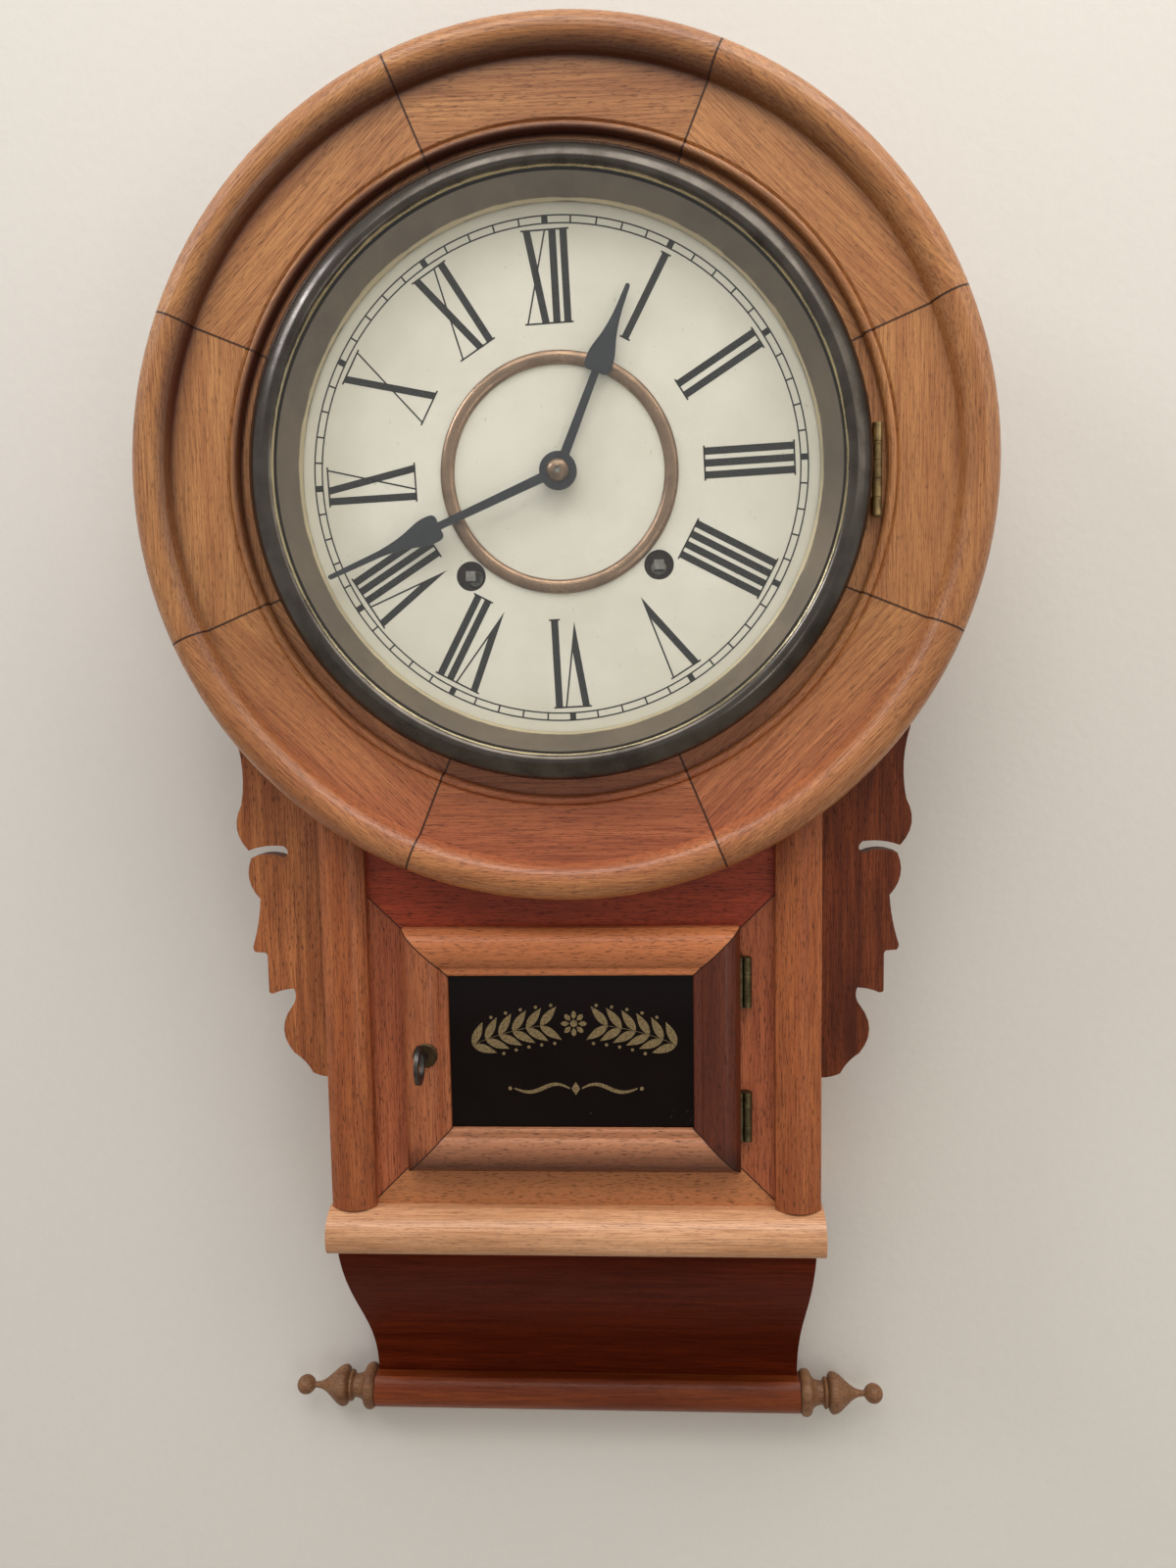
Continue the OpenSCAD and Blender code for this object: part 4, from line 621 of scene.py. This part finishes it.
# %% Numeral outlines
DIAL_TURN = 2.3  # degrees
NUMERAL_IN, NUMERAL_OUT = 67.7, 110.1  # radii of feet and heads, mm
THICK, THIN, INK = 3.4, 0.8, 0.05  # two strokes and the ink's height, mm
SIDE_ROOM, SERIF_OUT = 0.35, 0.9  # beside each letter; serif past its stroke
V_TIP, V_FOOT = 0.46, 0.035  # where a V meets, as shares of width and height
LETTER_WIDTH = {"I": 5.1, "X": 11.4, "V": 12.4}
NUMERALS = ["XII", "I", "II", "III", "IIII", "V", "VI", "VII", "VIII", "IX", "X", "XI"]
OWN_WIDTH = {"X": 16.5, "V": 15.5, "XI": 18.6, "IX": 18.2, "VI": 17.6, "II": 12.0, "III": 16.4, "IIII": 21.0}


def strokes(numeral):
    """Stroke outlines as (across, share of the height), the (middle, width) of each stroke's
    foot and head, and the numeral's whole width."""
    natural = sum(LETTER_WIDTH[c] for c in numeral)
    stretch = OWN_WIDTH.get(numeral, natural) / natural
    outlines, feet, heads, at = [], [], [], 0.0
    for letter in numeral:
        wide = LETTER_WIDTH[letter] * stretch
        left, last = at + THICK / 2 + SIDE_ROOM, at + wide - THIN / 2 - SIDE_ROOM
        if letter == "V":
            tip, low = at + V_TIP * wide, V_FOOT
            run_thick, run_thin = left - THICK / 2 - tip, last + THIN / 2 - tip
            fork, inside = THICK / (run_thin - run_thick), (THICK + THIN) / (run_thin - run_thick)
            meet = (tip + run_thin * fork, low + (1 - low) * fork)
            outlines += [[(tip, low), meet, (left + THICK / 2, 1), (left - THICK / 2, 1)],
                         [meet, (last + THIN / 2, 1), (last - THIN / 2, 1),
                          (tip - THIN + run_thin * inside, low + (1 - low) * inside)]]
            heads += [(left, THICK), (last, THIN)]
            at += wide
            continue
        middle = at + wide / 2
        bars = [(middle, middle, THICK)] if letter == "I" else [(last - THICK / 2, left, THICK),
                                                                (left - THICK / 2, last, THIN)]
        outlines += [[(foot - w / 2, 0), (foot + w / 2, 0), (head + w / 2, 1), (head - w / 2, 1)]
                     for foot, head, w in bars]
        feet += [(foot, w) for foot, head, w in bars]
        heads += [(head, w) for foot, head, w in bars]
        at += wide
    return outlines, feet, heads, at


def numeral_outlines(hour):
    """The outlines of one hour's numeral on the dial."""
    angle = math.radians(90 + DIAL_TURN - 30 * hour)
    out, along = Vector((math.cos(angle), math.sin(angle))), Vector((math.sin(angle), -math.cos(angle)))
    outlines, feet, heads, wide = strokes(NUMERALS[hour])
    serif = THIN / (NUMERAL_OUT - NUMERAL_IN)
    for share, ends in ((0.0, feet), (1.0 - serif, heads)):
        if ends:
            low = min(e - w / 2 for e, w in ends) - SERIF_OUT
            high = max(e + w / 2 for e, w in ends) + SERIF_OUT
            outlines.append([(low, share), (high, share), (high, share + serif), (low, share + serif)])
    placed = []
    for outline in outlines:
        spots = [out * (NUMERAL_IN + (NUMERAL_OUT - NUMERAL_IN) * share) + along * (across - wide / 2)
                 for across, share in outline]
        placed.append([(p.x, p.y) for p in spots])
    return placed


plates("dial_numerals", [o for hour in range(12) for o in numeral_outlines(hour)],
       dial_front, dial_front + INK, dial_ink, "case")

# %% [markdown]
# ## Minute track by Geometry Nodes
# Two thin circles close the track and sixty small marks divide it, with twelve broader
# ones at the hours. The marks repeat round a circle, so a node tree places them: a circle
# gives the points, each point gets one small block, and the block is turned by its index.
# The result is made real and kept as a plain mesh. One tree serves both kinds of mark.

# %% Blocks round a circle
def shape_tree(name, inputs):
    """A new tree with the given (label, kind) inputs and a material, and their sockets."""
    tree = bpy.data.node_groups.new(name, "GeometryNodeTree")
    for label, kind in (("Geometry", "Geometry"), *inputs, ("Material", "Material")):
        tree.interface.new_socket(label, in_out="INPUT", socket_type="NodeSocket" + kind)
    tree.interface.new_socket("Geometry", in_out="OUTPUT", socket_type="NodeSocketGeometry")
    return tree, add(tree, "NodeGroupInput").outputs


def finish_tree(tree, shape, material):
    """Makes the shape real, gives it the material and hands it out."""
    real = add(tree, "GeometryNodeRealizeInstances", (shape,))
    done = add(tree, "GeometryNodeSetMaterial", {"Geometry": real, "Material": material})
    add(tree, "NodeGroupOutput", {"Geometry": done})


def ring_tree():
    """Node tree: Count blocks of Size on a circle of Radius, lying in the dial's plane."""
    tree, given = shape_tree("Blocks round a circle", (
        ("Count", "Int"), ("Radius", "Float"), ("Size", "Vector"), ("Turn", "Float"), ("Centre", "Vector")))
    circle = add(tree, "GeometryNodeMeshCircle", {"Vertices": given["Count"], "Radius": given["Radius"]})
    block = add(tree, "GeometryNodeMeshCube", {"Size": given["Size"]})
    step = add(tree, MATH, (math.tau, given["Count"]), "DIVIDE")
    spin = add(tree, MATH, (add(tree, "GeometryNodeInputIndex"), step), "MULTIPLY")
    placed = add(tree, "GeometryNodeInstanceOnPoints", {
        "Points": circle, "Instance": block, "Rotation": add(tree, COMBINE, {"Z": spin})})
    flat = add(tree, COMBINE, {"Z": given["Turn"]})
    turned = add(tree, "GeometryNodeTransform", {"Geometry": placed, "Rotation": flat})
    upright = add(tree, "GeometryNodeTransform", {"Geometry": turned, "Translation": given["Centre"],
                                                  "Rotation": (math.pi / 2, 0, 0)})
    finish_tree(tree, upright, given["Material"])
    return tree


def grown(name, tree, values, body, start=None):
    """Runs a node tree on a new object and keeps the result as a plain mesh piece."""
    carrier = linked(name + "_seed", start or bpy.data.meshes.new(name + "_seed"))
    modifier = carrier.modifiers.new("Grow", "NODES")
    modifier.node_group = tree
    keys = {item.name: item.identifier for item in tree.interface.items_tree if item.in_out == "INPUT"}
    for label, value in values.items():
        modifier[keys[label]] = value
    bpy.context.view_layer.update()
    shown = carrier.evaluated_get(bpy.context.evaluated_depsgraph_get())
    mesh = bpy.data.meshes.new_from_object(shown)
    carrier.modifiers.clear()
    bpy.data.objects.remove(carrier)
    mesh.name = name
    return set_piece(name, mesh, body)


circle_tree = ring_tree()
TRACK_OUT, TRACK_IN = 116.0, 112.5  # radii of the minute track, mm
MINUTE_MARK, HOUR_MARK = 0.8, 2.9  # widths of its marks, mm
track_middle = (TRACK_OUT + TRACK_IN) / 2
twelve = math.radians(90 + DIAL_TURN)
ink_centre = (0, -(dial_front + INK / 2) * MM, 0)
for name, count, width in (("dial_minute_marks", 60, MINUTE_MARK), ("dial_hour_marks", 12, HOUR_MARK)):
    mark = ((TRACK_OUT - TRACK_IN) * MM, width * MM, INK * MM)
    grown(name, circle_tree, {"Count": count, "Radius": track_middle * MM, "Turn": twelve,
                              "Centre": ink_centre, "Size": mark, "Material": dial_ink}, "case")

# %% [markdown]
# ## Turned rings
# The two circles of the track are rings. A ring is one small outline carried round the
# dial's axis, as on a lathe, so one function turns any closed outline of (radius, depth)
# points, in the order that makes its faces point outwards.

# %% Turning an outline round the dial
def turned_ring(name, outline, material, body, centre=(0.0, 0.0), steps=144):
    """A closed ring round a centre from a closed outline of (radius, depth from the wall) points."""
    n = len(outline)
    points = [((centre[0] + r * math.cos(math.tau * s / steps)) * MM, -d * MM,
               (centre[1] + r * math.sin(math.tau * s / steps)) * MM)
              for s in range(steps) for r, d in outward(outline)]
    faces = [[s * n + i, s * n + (i + 1) % n, (s + 1) % steps * n + (i + 1) % n, (s + 1) % steps * n + i]
             for s in range(steps) for i in range(n)]
    return keep_piece(name, points, faces, material, body)


TRACK_LINE = 0.7  # width of a printed circle, mm
for name, radius in (("dial_track_outer", TRACK_OUT), ("dial_track_inner", TRACK_IN)):
    inner, outer, top = radius - TRACK_LINE / 2, radius + TRACK_LINE / 2, dial_front + INK
    turned_ring(name, [(inner, dial_front), (outer, dial_front), (outer, top), (inner, top)],
                dial_ink, "case")

# %% [markdown]
# ## Dark caps behind the winding holes
# Seen through its hole in the dial, each winding square stands in a dark red-brown cup. The
# cup is painted shade: a dark piece shaped as a fibre dust cap on the front plate, a short
# sleeve round the arbor with a wide brim, that stands for the shade inside the case.

# %% Caps of painted shade
# Painted shade in the holes, coloured as pressed vulcanised fibre: a dry, matt dark red.
fibre = flat_finish("Dark red fibre", "#42211D", "#5A322C", 4.0, 0.7)
PLATE_FACE, BRIM_BACK, BRIM_FRONT = 76.05, 79.2, 80.0  # depths from the wall, mm
CAP_BORE, CAP_SLEEVE, CAP_BRIM = 3.7, 4.6, 11.0  # radii, mm
for name in ("time_winding_arbor", "strike_winding_arbor"):
    low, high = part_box(name)
    arbor = ((low.x + high.x) / 2 / MM, (low.z + high.z) / 2 / MM)
    cap = [(CAP_BORE, PLATE_FACE), (CAP_SLEEVE, PLATE_FACE), (CAP_SLEEVE, BRIM_BACK), (CAP_BRIM, BRIM_BACK),
           (CAP_BRIM, BRIM_FRONT), (CAP_BORE, BRIM_FRONT)]
    turned_ring(name.replace("arbor", "dust_cap"), cap, fibre, "case", arbor, 48)

# %% [markdown]
# ## The bezel's moulding
# A bezel is thin sheet brass, spun on a lathe over a wooden former into one broad roll that
# falls to the glass in a narrow valley. The solid has a plainer roll and bead, so this piece
# stands for it within the same box. It could be a curve with a bevel profile; turning an
# outline of two arcs, a broad one outside and a tight one over the crest, keeps each radius
# a plain number. The broad arc is what catches the window as a wide band.

# %% Bezel moulding
low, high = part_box("bezel_ring")
BEZEL_OUT, BEZEL_BACK, BEZEL_FRONT = high.x / MM, -high.y / MM, -low.y / MM
GLASS_SEAT, VALLEY = 132.6, 2.7  # the inner wall's radius and its drop from the crest, mm
BROAD_R, CREST_R, JOIN = 15.4, 3.98, 136.0  # the two arcs' radii, and the radius where they join
BROAD_TILTS, CREST_TILTS = (52, 46, 40, 34, 28, 23), (18, 12, 4, -6, -17, -28, -39, -50, -61, -71.3)
join_tilt = math.radians(CREST_TILTS[0])
join_depth = BEZEL_FRONT - CREST_R * (1 - math.cos(join_tilt))
section = [(GLASS_SEAT, BEZEL_BACK), (BEZEL_OUT, BEZEL_BACK)]
for bend, tilts in ((BROAD_R, BROAD_TILTS), (CREST_R, CREST_TILTS)):
    for tilt in map(math.radians, tilts):
        section.append((JOIN + bend * (math.sin(tilt) - math.sin(join_tilt)),
                        join_depth + bend * (math.cos(tilt) - math.cos(join_tilt))))
section.append((GLASS_SEAT, BEZEL_FRONT - VALLEY))
moulding = turned_ring("bezel_moulding", section, bezel_brass, "bezel", steps=180)
moulding.data.shade_smooth()
moulding.data.set_sharp_from_angle(angle=math.radians(50))
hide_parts("bezel_ring")

# %% [markdown]
# ## Glue in the joints of the surround
# The solid model leaves a hair's gap between the eight blocks of the surround. On the
# clock it is filled with dark glue, and it shows as a thin dark line. Each filling is a
# thin wedge: the section of the ring, set back a little, between two close angles.

# %% Glue lines
def joint_wedges(name, section, angles, half, material, body):
    """Closed wedges with the given (radius, depth) section, half an angle wide to each side."""
    points, faces = [], []
    for a in angles:
        faces += prism_faces(len(points), len(section))
        for side in (a - half, a + half):
            points += [(r * math.cos(side) * MM, -d * MM, r * math.sin(side) * MM) for r, d in section]
    return keep_piece(name, points, faces, material, body)


def oval(r, d, rx, ry, start, stop, steps):
    """Points of an oval arc in (radius, depth)."""
    angles = [math.radians(start + (stop - start) * i / steps) for i in range(steps + 1)]
    return [(r + rx * math.cos(a), d + ry * math.sin(a)) for a in angles]


# Dried hide glue with old dust in it: a dull, nearly black brown line.
glue = flat_finish("Dark glue", "#26120A", "#3A1E12", 4.0, 0.6)
ring_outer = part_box("surround")[1].x / MM
GLUE_SET_BACK, WEDGE_HALF = 0.3, 0.13  # behind the wood's face; half the wedge's outer width
glue_section = ([(130.0, 81.0), (ring_outer - 2.5, 81.0), (ring_outer - GLUE_SET_BACK, 85.0)]
                + oval(ring_outer - 9.5, 96.0, 9.5 - GLUE_SET_BACK, 10.0 - GLUE_SET_BACK, 0, 165, 12)
                + [(184.0, 97.6), (157.5, 97.6), (156.4, 96.6)]
                + oval(154.25, 96.4, 2.25 - GLUE_SET_BACK, 2.25 - GLUE_SET_BACK, 10, 170, 6)
                + [(152.3, 93.6), (130.0, 93.6)])
joints = [math.radians(360 / BLOCKS * (i + 0.5)) for i in range(BLOCKS)]
joint_wedges("surround_glue_lines", glue_section, joints, WEDGE_HALF / ring_outer, glue, "case")

# %% [markdown]
# ## Gilt garland on the door's pane
# The dark pane carries a gilt transfer: an arched garland of leaves over a small scroll.
# A leaf repeats along a stem, so a node tree sets leaves on an arc in pairs and turns
# them with the stem's direction. Gold leaf is a real metal colour, but very thin and a
# little rubbed, so the dark pane shows through it in fine specks.

# %% Gilt finish and leaf
# Gold leaf laid on the pane and rubbed: a dull gold that dark specks break up.
gilt = flat_finish("Rubbed gold leaf", "#8D7A58", "#574A34", 0.9, 0.45, 0.35)
pane_front = -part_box("door_glass")[0].y / MM
GILT = 0.08  # how far the leaf stands on the pane, mm


def leaf_object(length=13.0, width=4.2):
    """A pointed leaf along +X in the door's plane, closed, with its base at the origin."""
    steps, fullest = 8, 0.8  # under 1, the leaf is broadest near its base
    upper = [(length * t / steps, width / 2 * math.sin(math.pi * (t / steps) ** fullest))
             for t in range(1, steps)]
    ring = [(0.0, 0.0)] + upper + [(length, 0.0)] + [(x, -z) for x, z in reversed(upper)]
    n = len(ring)
    points = [(x * MM, y * MM, z * MM) for y in (-GILT / 2, GILT / 2) for x, z in ring]
    faces = [list(reversed(range(n))), [n + i for i in range(n)]]
    faces += [[i, (i + 1) % n, n + (i + 1) % n, n + i] for i in range(n)]
    mesh = bpy.data.meshes.new("gilt_leaf")
    mesh.from_pydata(points, [], faces)
    return bpy.data.objects.new("gilt_leaf", mesh)


# %% [markdown]
# ## Leaves along a stem
# The stem is a curve, and points at equal steps along it carry the leaves. Each point
# turns its leaf with the stem's direction and then by the spread to one side, once for
# each row. A node tree does it because the leaves follow the path wherever it bends.

# %% Leaves along a stem
def garland_tree():
    """Node tree: leaves in pairs along the curve it is given, and the stem itself."""
    tree, given = shape_tree("Leaves along a stem", (
        ("Pairs", "Int"), ("Spread", "Float"), ("Stem", "Float"), ("Leaf", "Object")))
    spots = add(tree, "GeometryNodeCurveToPoints", {"Curve": given["Geometry"], "Count": given["Pairs"]})
    leaf = add(tree, "GeometryNodeObjectInfo", {"Object": given["Leaf"]})
    along = add(tree, "FunctionNodeAlignRotationToVector", {"Vector": spots.outputs["Tangent"]}, axis="X",
                pivot_axis="Y")
    rows = []
    for side in (-1.0, 1.0):
        tilt = add(tree, MATH, (given["Spread"], side), "MULTIPLY")
        tilt = add(tree, "FunctionNodeEulerToRotation", (add(tree, COMBINE, {"Y": tilt}),))
        facing = add(tree, "FunctionNodeRotateRotation", (along, tilt), rotation_space="LOCAL")
        rows.append(add(tree, "GeometryNodeInstanceOnPoints", {
            "Points": spots.outputs["Points"], "Instance": leaf.outputs["Geometry"], "Rotation": facing}))
    edge = add(tree, "GeometryNodeCurvePrimitiveQuadrilateral", {"Width": given["Stem"], "Height": GILT * MM})
    stem = add(tree, "GeometryNodeCurveToMesh", {"Curve": given["Geometry"], "Profile Curve": edge,
                                                 "Fill Caps": True})
    joined = add(tree, "GeometryNodeJoinGeometry")
    for part in (*rows, stem):
        fill(tree, joined, (part,))
    finish_tree(tree, joined, given["Material"])
    return tree


GARLAND_R, GARLAND_X, GARLAND_Z = 125.0, 1.5, -393.0  # the arch's radius and centre, mm
GARLAND_HALF, GARLAND_GAP = 24.2, 7.8  # from its middle to foot and first leaf, degrees
LEAF_PAIRS, LEAF_SPREAD, STEM = 6, 42, 0.7  # spread in degrees, stem in mm
ARC_STEPS = 24
leaf_shape = leaf_object()
stem_tree = garland_tree()
for name, side in (("garland_left", -1), ("garland_right", 1)):
    arc = bpy.data.curves.new(name + "_arc", "CURVE")
    arc.dimensions = "3D"
    line = arc.splines.new("POLY")
    angles = [math.radians(90 - side * (GARLAND_HALF + (GARLAND_GAP - GARLAND_HALF) * t / ARC_STEPS))
              for t in range(ARC_STEPS + 1)]
    line.points.add(len(angles) - 1)
    for point, a in zip(line.points, angles):
        point.co = ((GARLAND_X + GARLAND_R * math.cos(a)) * MM, -(pane_front + GILT / 2) * MM,
                    (GARLAND_Z + GARLAND_R * math.sin(a)) * MM, 1)
    grown(name, stem_tree, {"Pairs": LEAF_PAIRS, "Spread": math.radians(LEAF_SPREAD), "Stem": STEM * MM,
                            "Leaf": leaf_shape, "Material": gilt},
          "door", arc)
bpy.data.objects.remove(leaf_shape)

# %% [markdown]
# ## Berries and scroll
# Small round berries fill the garland between its leaf pairs, and a drawn scroll closes
# the panel below. The scroll is a line that swells and thins like a brush stroke, so its
# outline is made from a centre line and a half width at each step, and mirrored.

# %% Berries and scroll
def disc(x, z, r, sides=14):
    """The outline of a small round."""
    angles = [math.tau * i / sides for i in range(sides)]
    return [(x + r * math.cos(a), z + r * math.sin(a)) for a in angles]


def brush_stroke(line):
    """The outline of a stroke along (x, z, half width) steps."""
    left, other = [], []
    for i, (x, z, half) in enumerate(line):
        a, b = line[max(i - 1, 0)], line[min(i + 1, len(line) - 1)]
        run = Vector((b[0] - a[0], b[1] - a[1])).normalized()
        left.append((x - run.y * half, z + run.x * half))
        other.append((x + run.y * half, z - run.x * half))
    return left + other[::-1]


BERRY_R, BERRY_OFF, BERRY_SHIFT = 0.85, 9.8, 1.9  # radius and distance off, mm; steps past the foot
ornament = []
pair_step = (GARLAND_HALF - GARLAND_GAP) / (LEAF_PAIRS - 1)
for side in (-1, 1):
    for i in range(LEAF_PAIRS - 1):
        a = math.radians(90 - side * (GARLAND_HALF - pair_step * (i + BERRY_SHIFT)))
        for off in (-BERRY_OFF, BERRY_OFF):
            ornament.append(disc(GARLAND_X + (GARLAND_R + off) * math.cos(a),
                                 GARLAND_Z + (GARLAND_R + off) * math.sin(a), BERRY_R))
PETALS, ROSE_R, PETAL = 8, 1.8, ((2.2, 0), (4.0, -1.3), (5.6, -1.1), (6.6, 0), (5.6, 1.1), (4.0, 1.3))
rose_x, rose_z = GARLAND_X, GARLAND_Z + GARLAND_R
ornament.append(disc(rose_x, rose_z, ROSE_R))
for i in range(PETALS):
    run = Vector((math.cos(math.tau * i / PETALS), math.sin(math.tau * i / PETALS)))
    ornament.append([(rose_x + run.x * u - run.y * v, rose_z + run.y * u + run.x * v) for u, v in PETAL])
SCROLL_X, SCROLL_Z, SCROLL_IN, SCROLL_LONG, SCROLL_HIGH = 2.0, -301.5, 3, 28, 2.4
SCROLL_FADE, PEN_THIN, PEN_SWELL = 0.3, 0.25, 0.75  # the wave's loss of height; half widths, mm
KNOB_OUT, KNOB_R, LOZENGE_WIDE, LOZENGE_HIGH = 33.2, 1.0, 2.2, 3.4
for side in (-1, 1):
    wave = [(SCROLL_X + side * (SCROLL_IN + SCROLL_LONG * t / ARC_STEPS),
             SCROLL_Z + SCROLL_HIGH * math.sin(math.tau * t / ARC_STEPS) * (1 - SCROLL_FADE * t / ARC_STEPS),
             PEN_THIN + PEN_SWELL * math.sin(math.pi * (t + 1) / (ARC_STEPS + 2)))
            for t in range(ARC_STEPS + 1)]
    ornament.append(brush_stroke(wave))
    ornament.append(disc(SCROLL_X + side * KNOB_OUT, SCROLL_Z, KNOB_R))
ornament.append([(SCROLL_X, SCROLL_Z + LOZENGE_HIGH), (SCROLL_X - LOZENGE_WIDE, SCROLL_Z),
                 (SCROLL_X, SCROLL_Z - LOZENGE_HIGH), (SCROLL_X + LOZENGE_WIDE, SCROLL_Z)])
plates("gilt_berries_and_scroll", ornament, pane_front, pane_front + GILT, gilt, "door")

# %% [markdown]
# ## Wall and floor
# The clock hangs on a pale painted wall. The wall is one-sided: seen from behind it is
# clear, and it is cut away where the case touches it, so the back of the case can be seen
# and lit in the views from behind. It could be one sheet with holes, but rows of plain
# rectangles between a few levels leave the same openings and are simpler to follow.

# %% Wall and floor
def stage_sheet(name, points, faces, material):
    """A plain sheet that isn't part of the clock."""
    mesh = bpy.data.meshes.new(name)
    mesh.from_pydata([[c * MM for c in p] for p in points], [], faces)
    mesh.materials.append(material)
    linked(name, mesh)
    print(name, "is", len(faces), "faces")


PLASTER_GRAIN, PLASTER_DEPTH = 6.0, 0.6  # mm


def wall_paint(name, code, other, one_sided):
    """Matt wall paint with a faint plaster grain; clear from behind where one-sided."""
    material, tree, shader = finish_of(name)
    plaster = add(tree, NOISE, {"Vector": object_mm(tree), "Scale": 1 / PLASTER_GRAIN, "Detail": 5.0})
    bump = add(tree, "ShaderNodeBump", {"Height": plaster, "Distance": PLASTER_DEPTH * MM, "Strength": 0.35})
    fill(tree, shader, {"Base Color": coats(tree, code, (plaster, other)), "Roughness": 0.85, "Normal": bump})
    if one_sided:
        clear_where(tree, shader, add(tree, "ShaderNodeNewGeometry").outputs["Backfacing"])
    return material


SIDE, TOP, FLOOR = 3000.0, 1600.0, -1150.0  # the wall's reach each way, mm
WALL_Y, INSET = 0.4, 1.0  # just behind the case; how far it goes in behind it
board, base = (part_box(name)[1] / MM for name in ("right_side_board", "base_cheeks"))
base_foot, board_foot = (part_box(name)[0].z / MM for name in ("base_cheeks", "left_side_board"))
levels = (FLOOR, base_foot + INSET, board_foot, board.z - INSET, TOP)
wall_points, wall_faces = [], []
for low, high, half in zip(levels, levels[1:], (0.0, base.x - INSET, board.x - INSET, 0.0)):
    for left, right in ((-SIDE, -half), (half, SIDE)):
        first = len(wall_points)
        wall_points += [(x, WALL_Y, z) for x, z in ((left, low), (right, low), (right, high), (left, high))]
        wall_faces.append((first, first + 1, first + 2, first + 3))
# Rolled matt paint: a pale ground that shows the clock's soft shadow, with hardly any grain.
stage_sheet("wall", wall_points, wall_faces, wall_paint("Pale wall paint", "#E0DCD6", "#E4E0DA", True))
# The same paint a shade darker: it keeps the underside of the case from glowing.
floor_points = [(x, y, FLOOR) for x, y in ((-SIDE, WALL_Y), (-SIDE, -SIDE), (SIDE, -SIDE), (SIDE, WALL_Y))]
stage_sheet("floor", floor_points, [(0, 1, 2, 3)],
            wall_paint("Pale floor paint", "#B4AFA7", "#BCB8B0", False))

# %% [markdown]
# ## Light
# A large soft panel above the clock gives the main light. A smaller one high on the left
# stands for a window: it models the rolls and is what the metal mirrors as a bright band.
# A weak panel on the right and a small one low in front lift the shadows. The surround is
# brighter above than below, and even where it is only looked at or mirrored. Together they
# are kept at a level where a colour renders as written.

# %% Light
def lamp(name, place, target, size, watts, tint):
    """A soft rectangular panel aimed at a point; sizes and places in metres."""
    data = bpy.data.lights.new(name, "AREA")
    data.shape, data.size, data.size_y = "RECTANGLE", *size
    data.energy, data.color = watts, linear(tint)[:3]
    panel = linked(name, data)
    aim = (Vector(target) - Vector(place)).to_track_quat("-Z", "Y")
    panel.matrix_world = Matrix.Translation(place) @ aim.to_matrix().to_4x4()


lamp("panel_above", (0.2, -0.88, 1.28), (0.0, 0.0, 0.0), (1.9, 1.0), 21.5, "#FFFBF5")
lamp("panel_left", (-2.2, -1.2, 1.7), (0.0, 0.0, 0.0), (0.65, 0.75), 22.0, "#F6F8FF")
lamp("panel_right", (1.3, -0.9, 0.55), (0.2, 0.0, 0.1), (0.9, 0.9), 3.0, "#FFF6EA")
lamp("panel_low", (0.9, -1.7, -0.7), (0.1, 0.0, -0.1), (0.4, 0.4), 1.8, "#FFF9F2")
world = bpy.data.worlds.new("surround")
bpy.context.scene.world = world
world.use_nodes = True
sky = world.node_tree
sky.nodes.clear()
DIMMEST, BRIGHTEST, AS_SEEN = 0.05, 0.70, 0.72
FLOAT_A, FLOAT_B = 2, 3
way = add(sky, SPLIT, (add(sky, "ShaderNodeTexCoord").outputs["Generated"],)).outputs
above = add(sky, RANGE, (way["Z"], -0.5, 0.7, DIMMEST, BRIGHTEST))
path = add(sky, "ShaderNodeLightPath").outputs
sight = add(sky, MATH, (path["Is Glossy Ray"], path["Is Transmission Ray"]), "MAXIMUM")
sight = add(sky, MATH, (path["Is Camera Ray"], sight), "MAXIMUM")
strength = add(sky, MIX, {0: sight, FLOAT_A: above, FLOAT_B: AS_SEEN}, data_type="FLOAT")
backdrop = add(sky, "ShaderNodeBackground", {"Color": linear("#F4F1EC"), "Strength": strength})
add(sky, "ShaderNodeOutputWorld", {"Surface": backdrop})
print("Light: four panels and a surround that is brighter above")
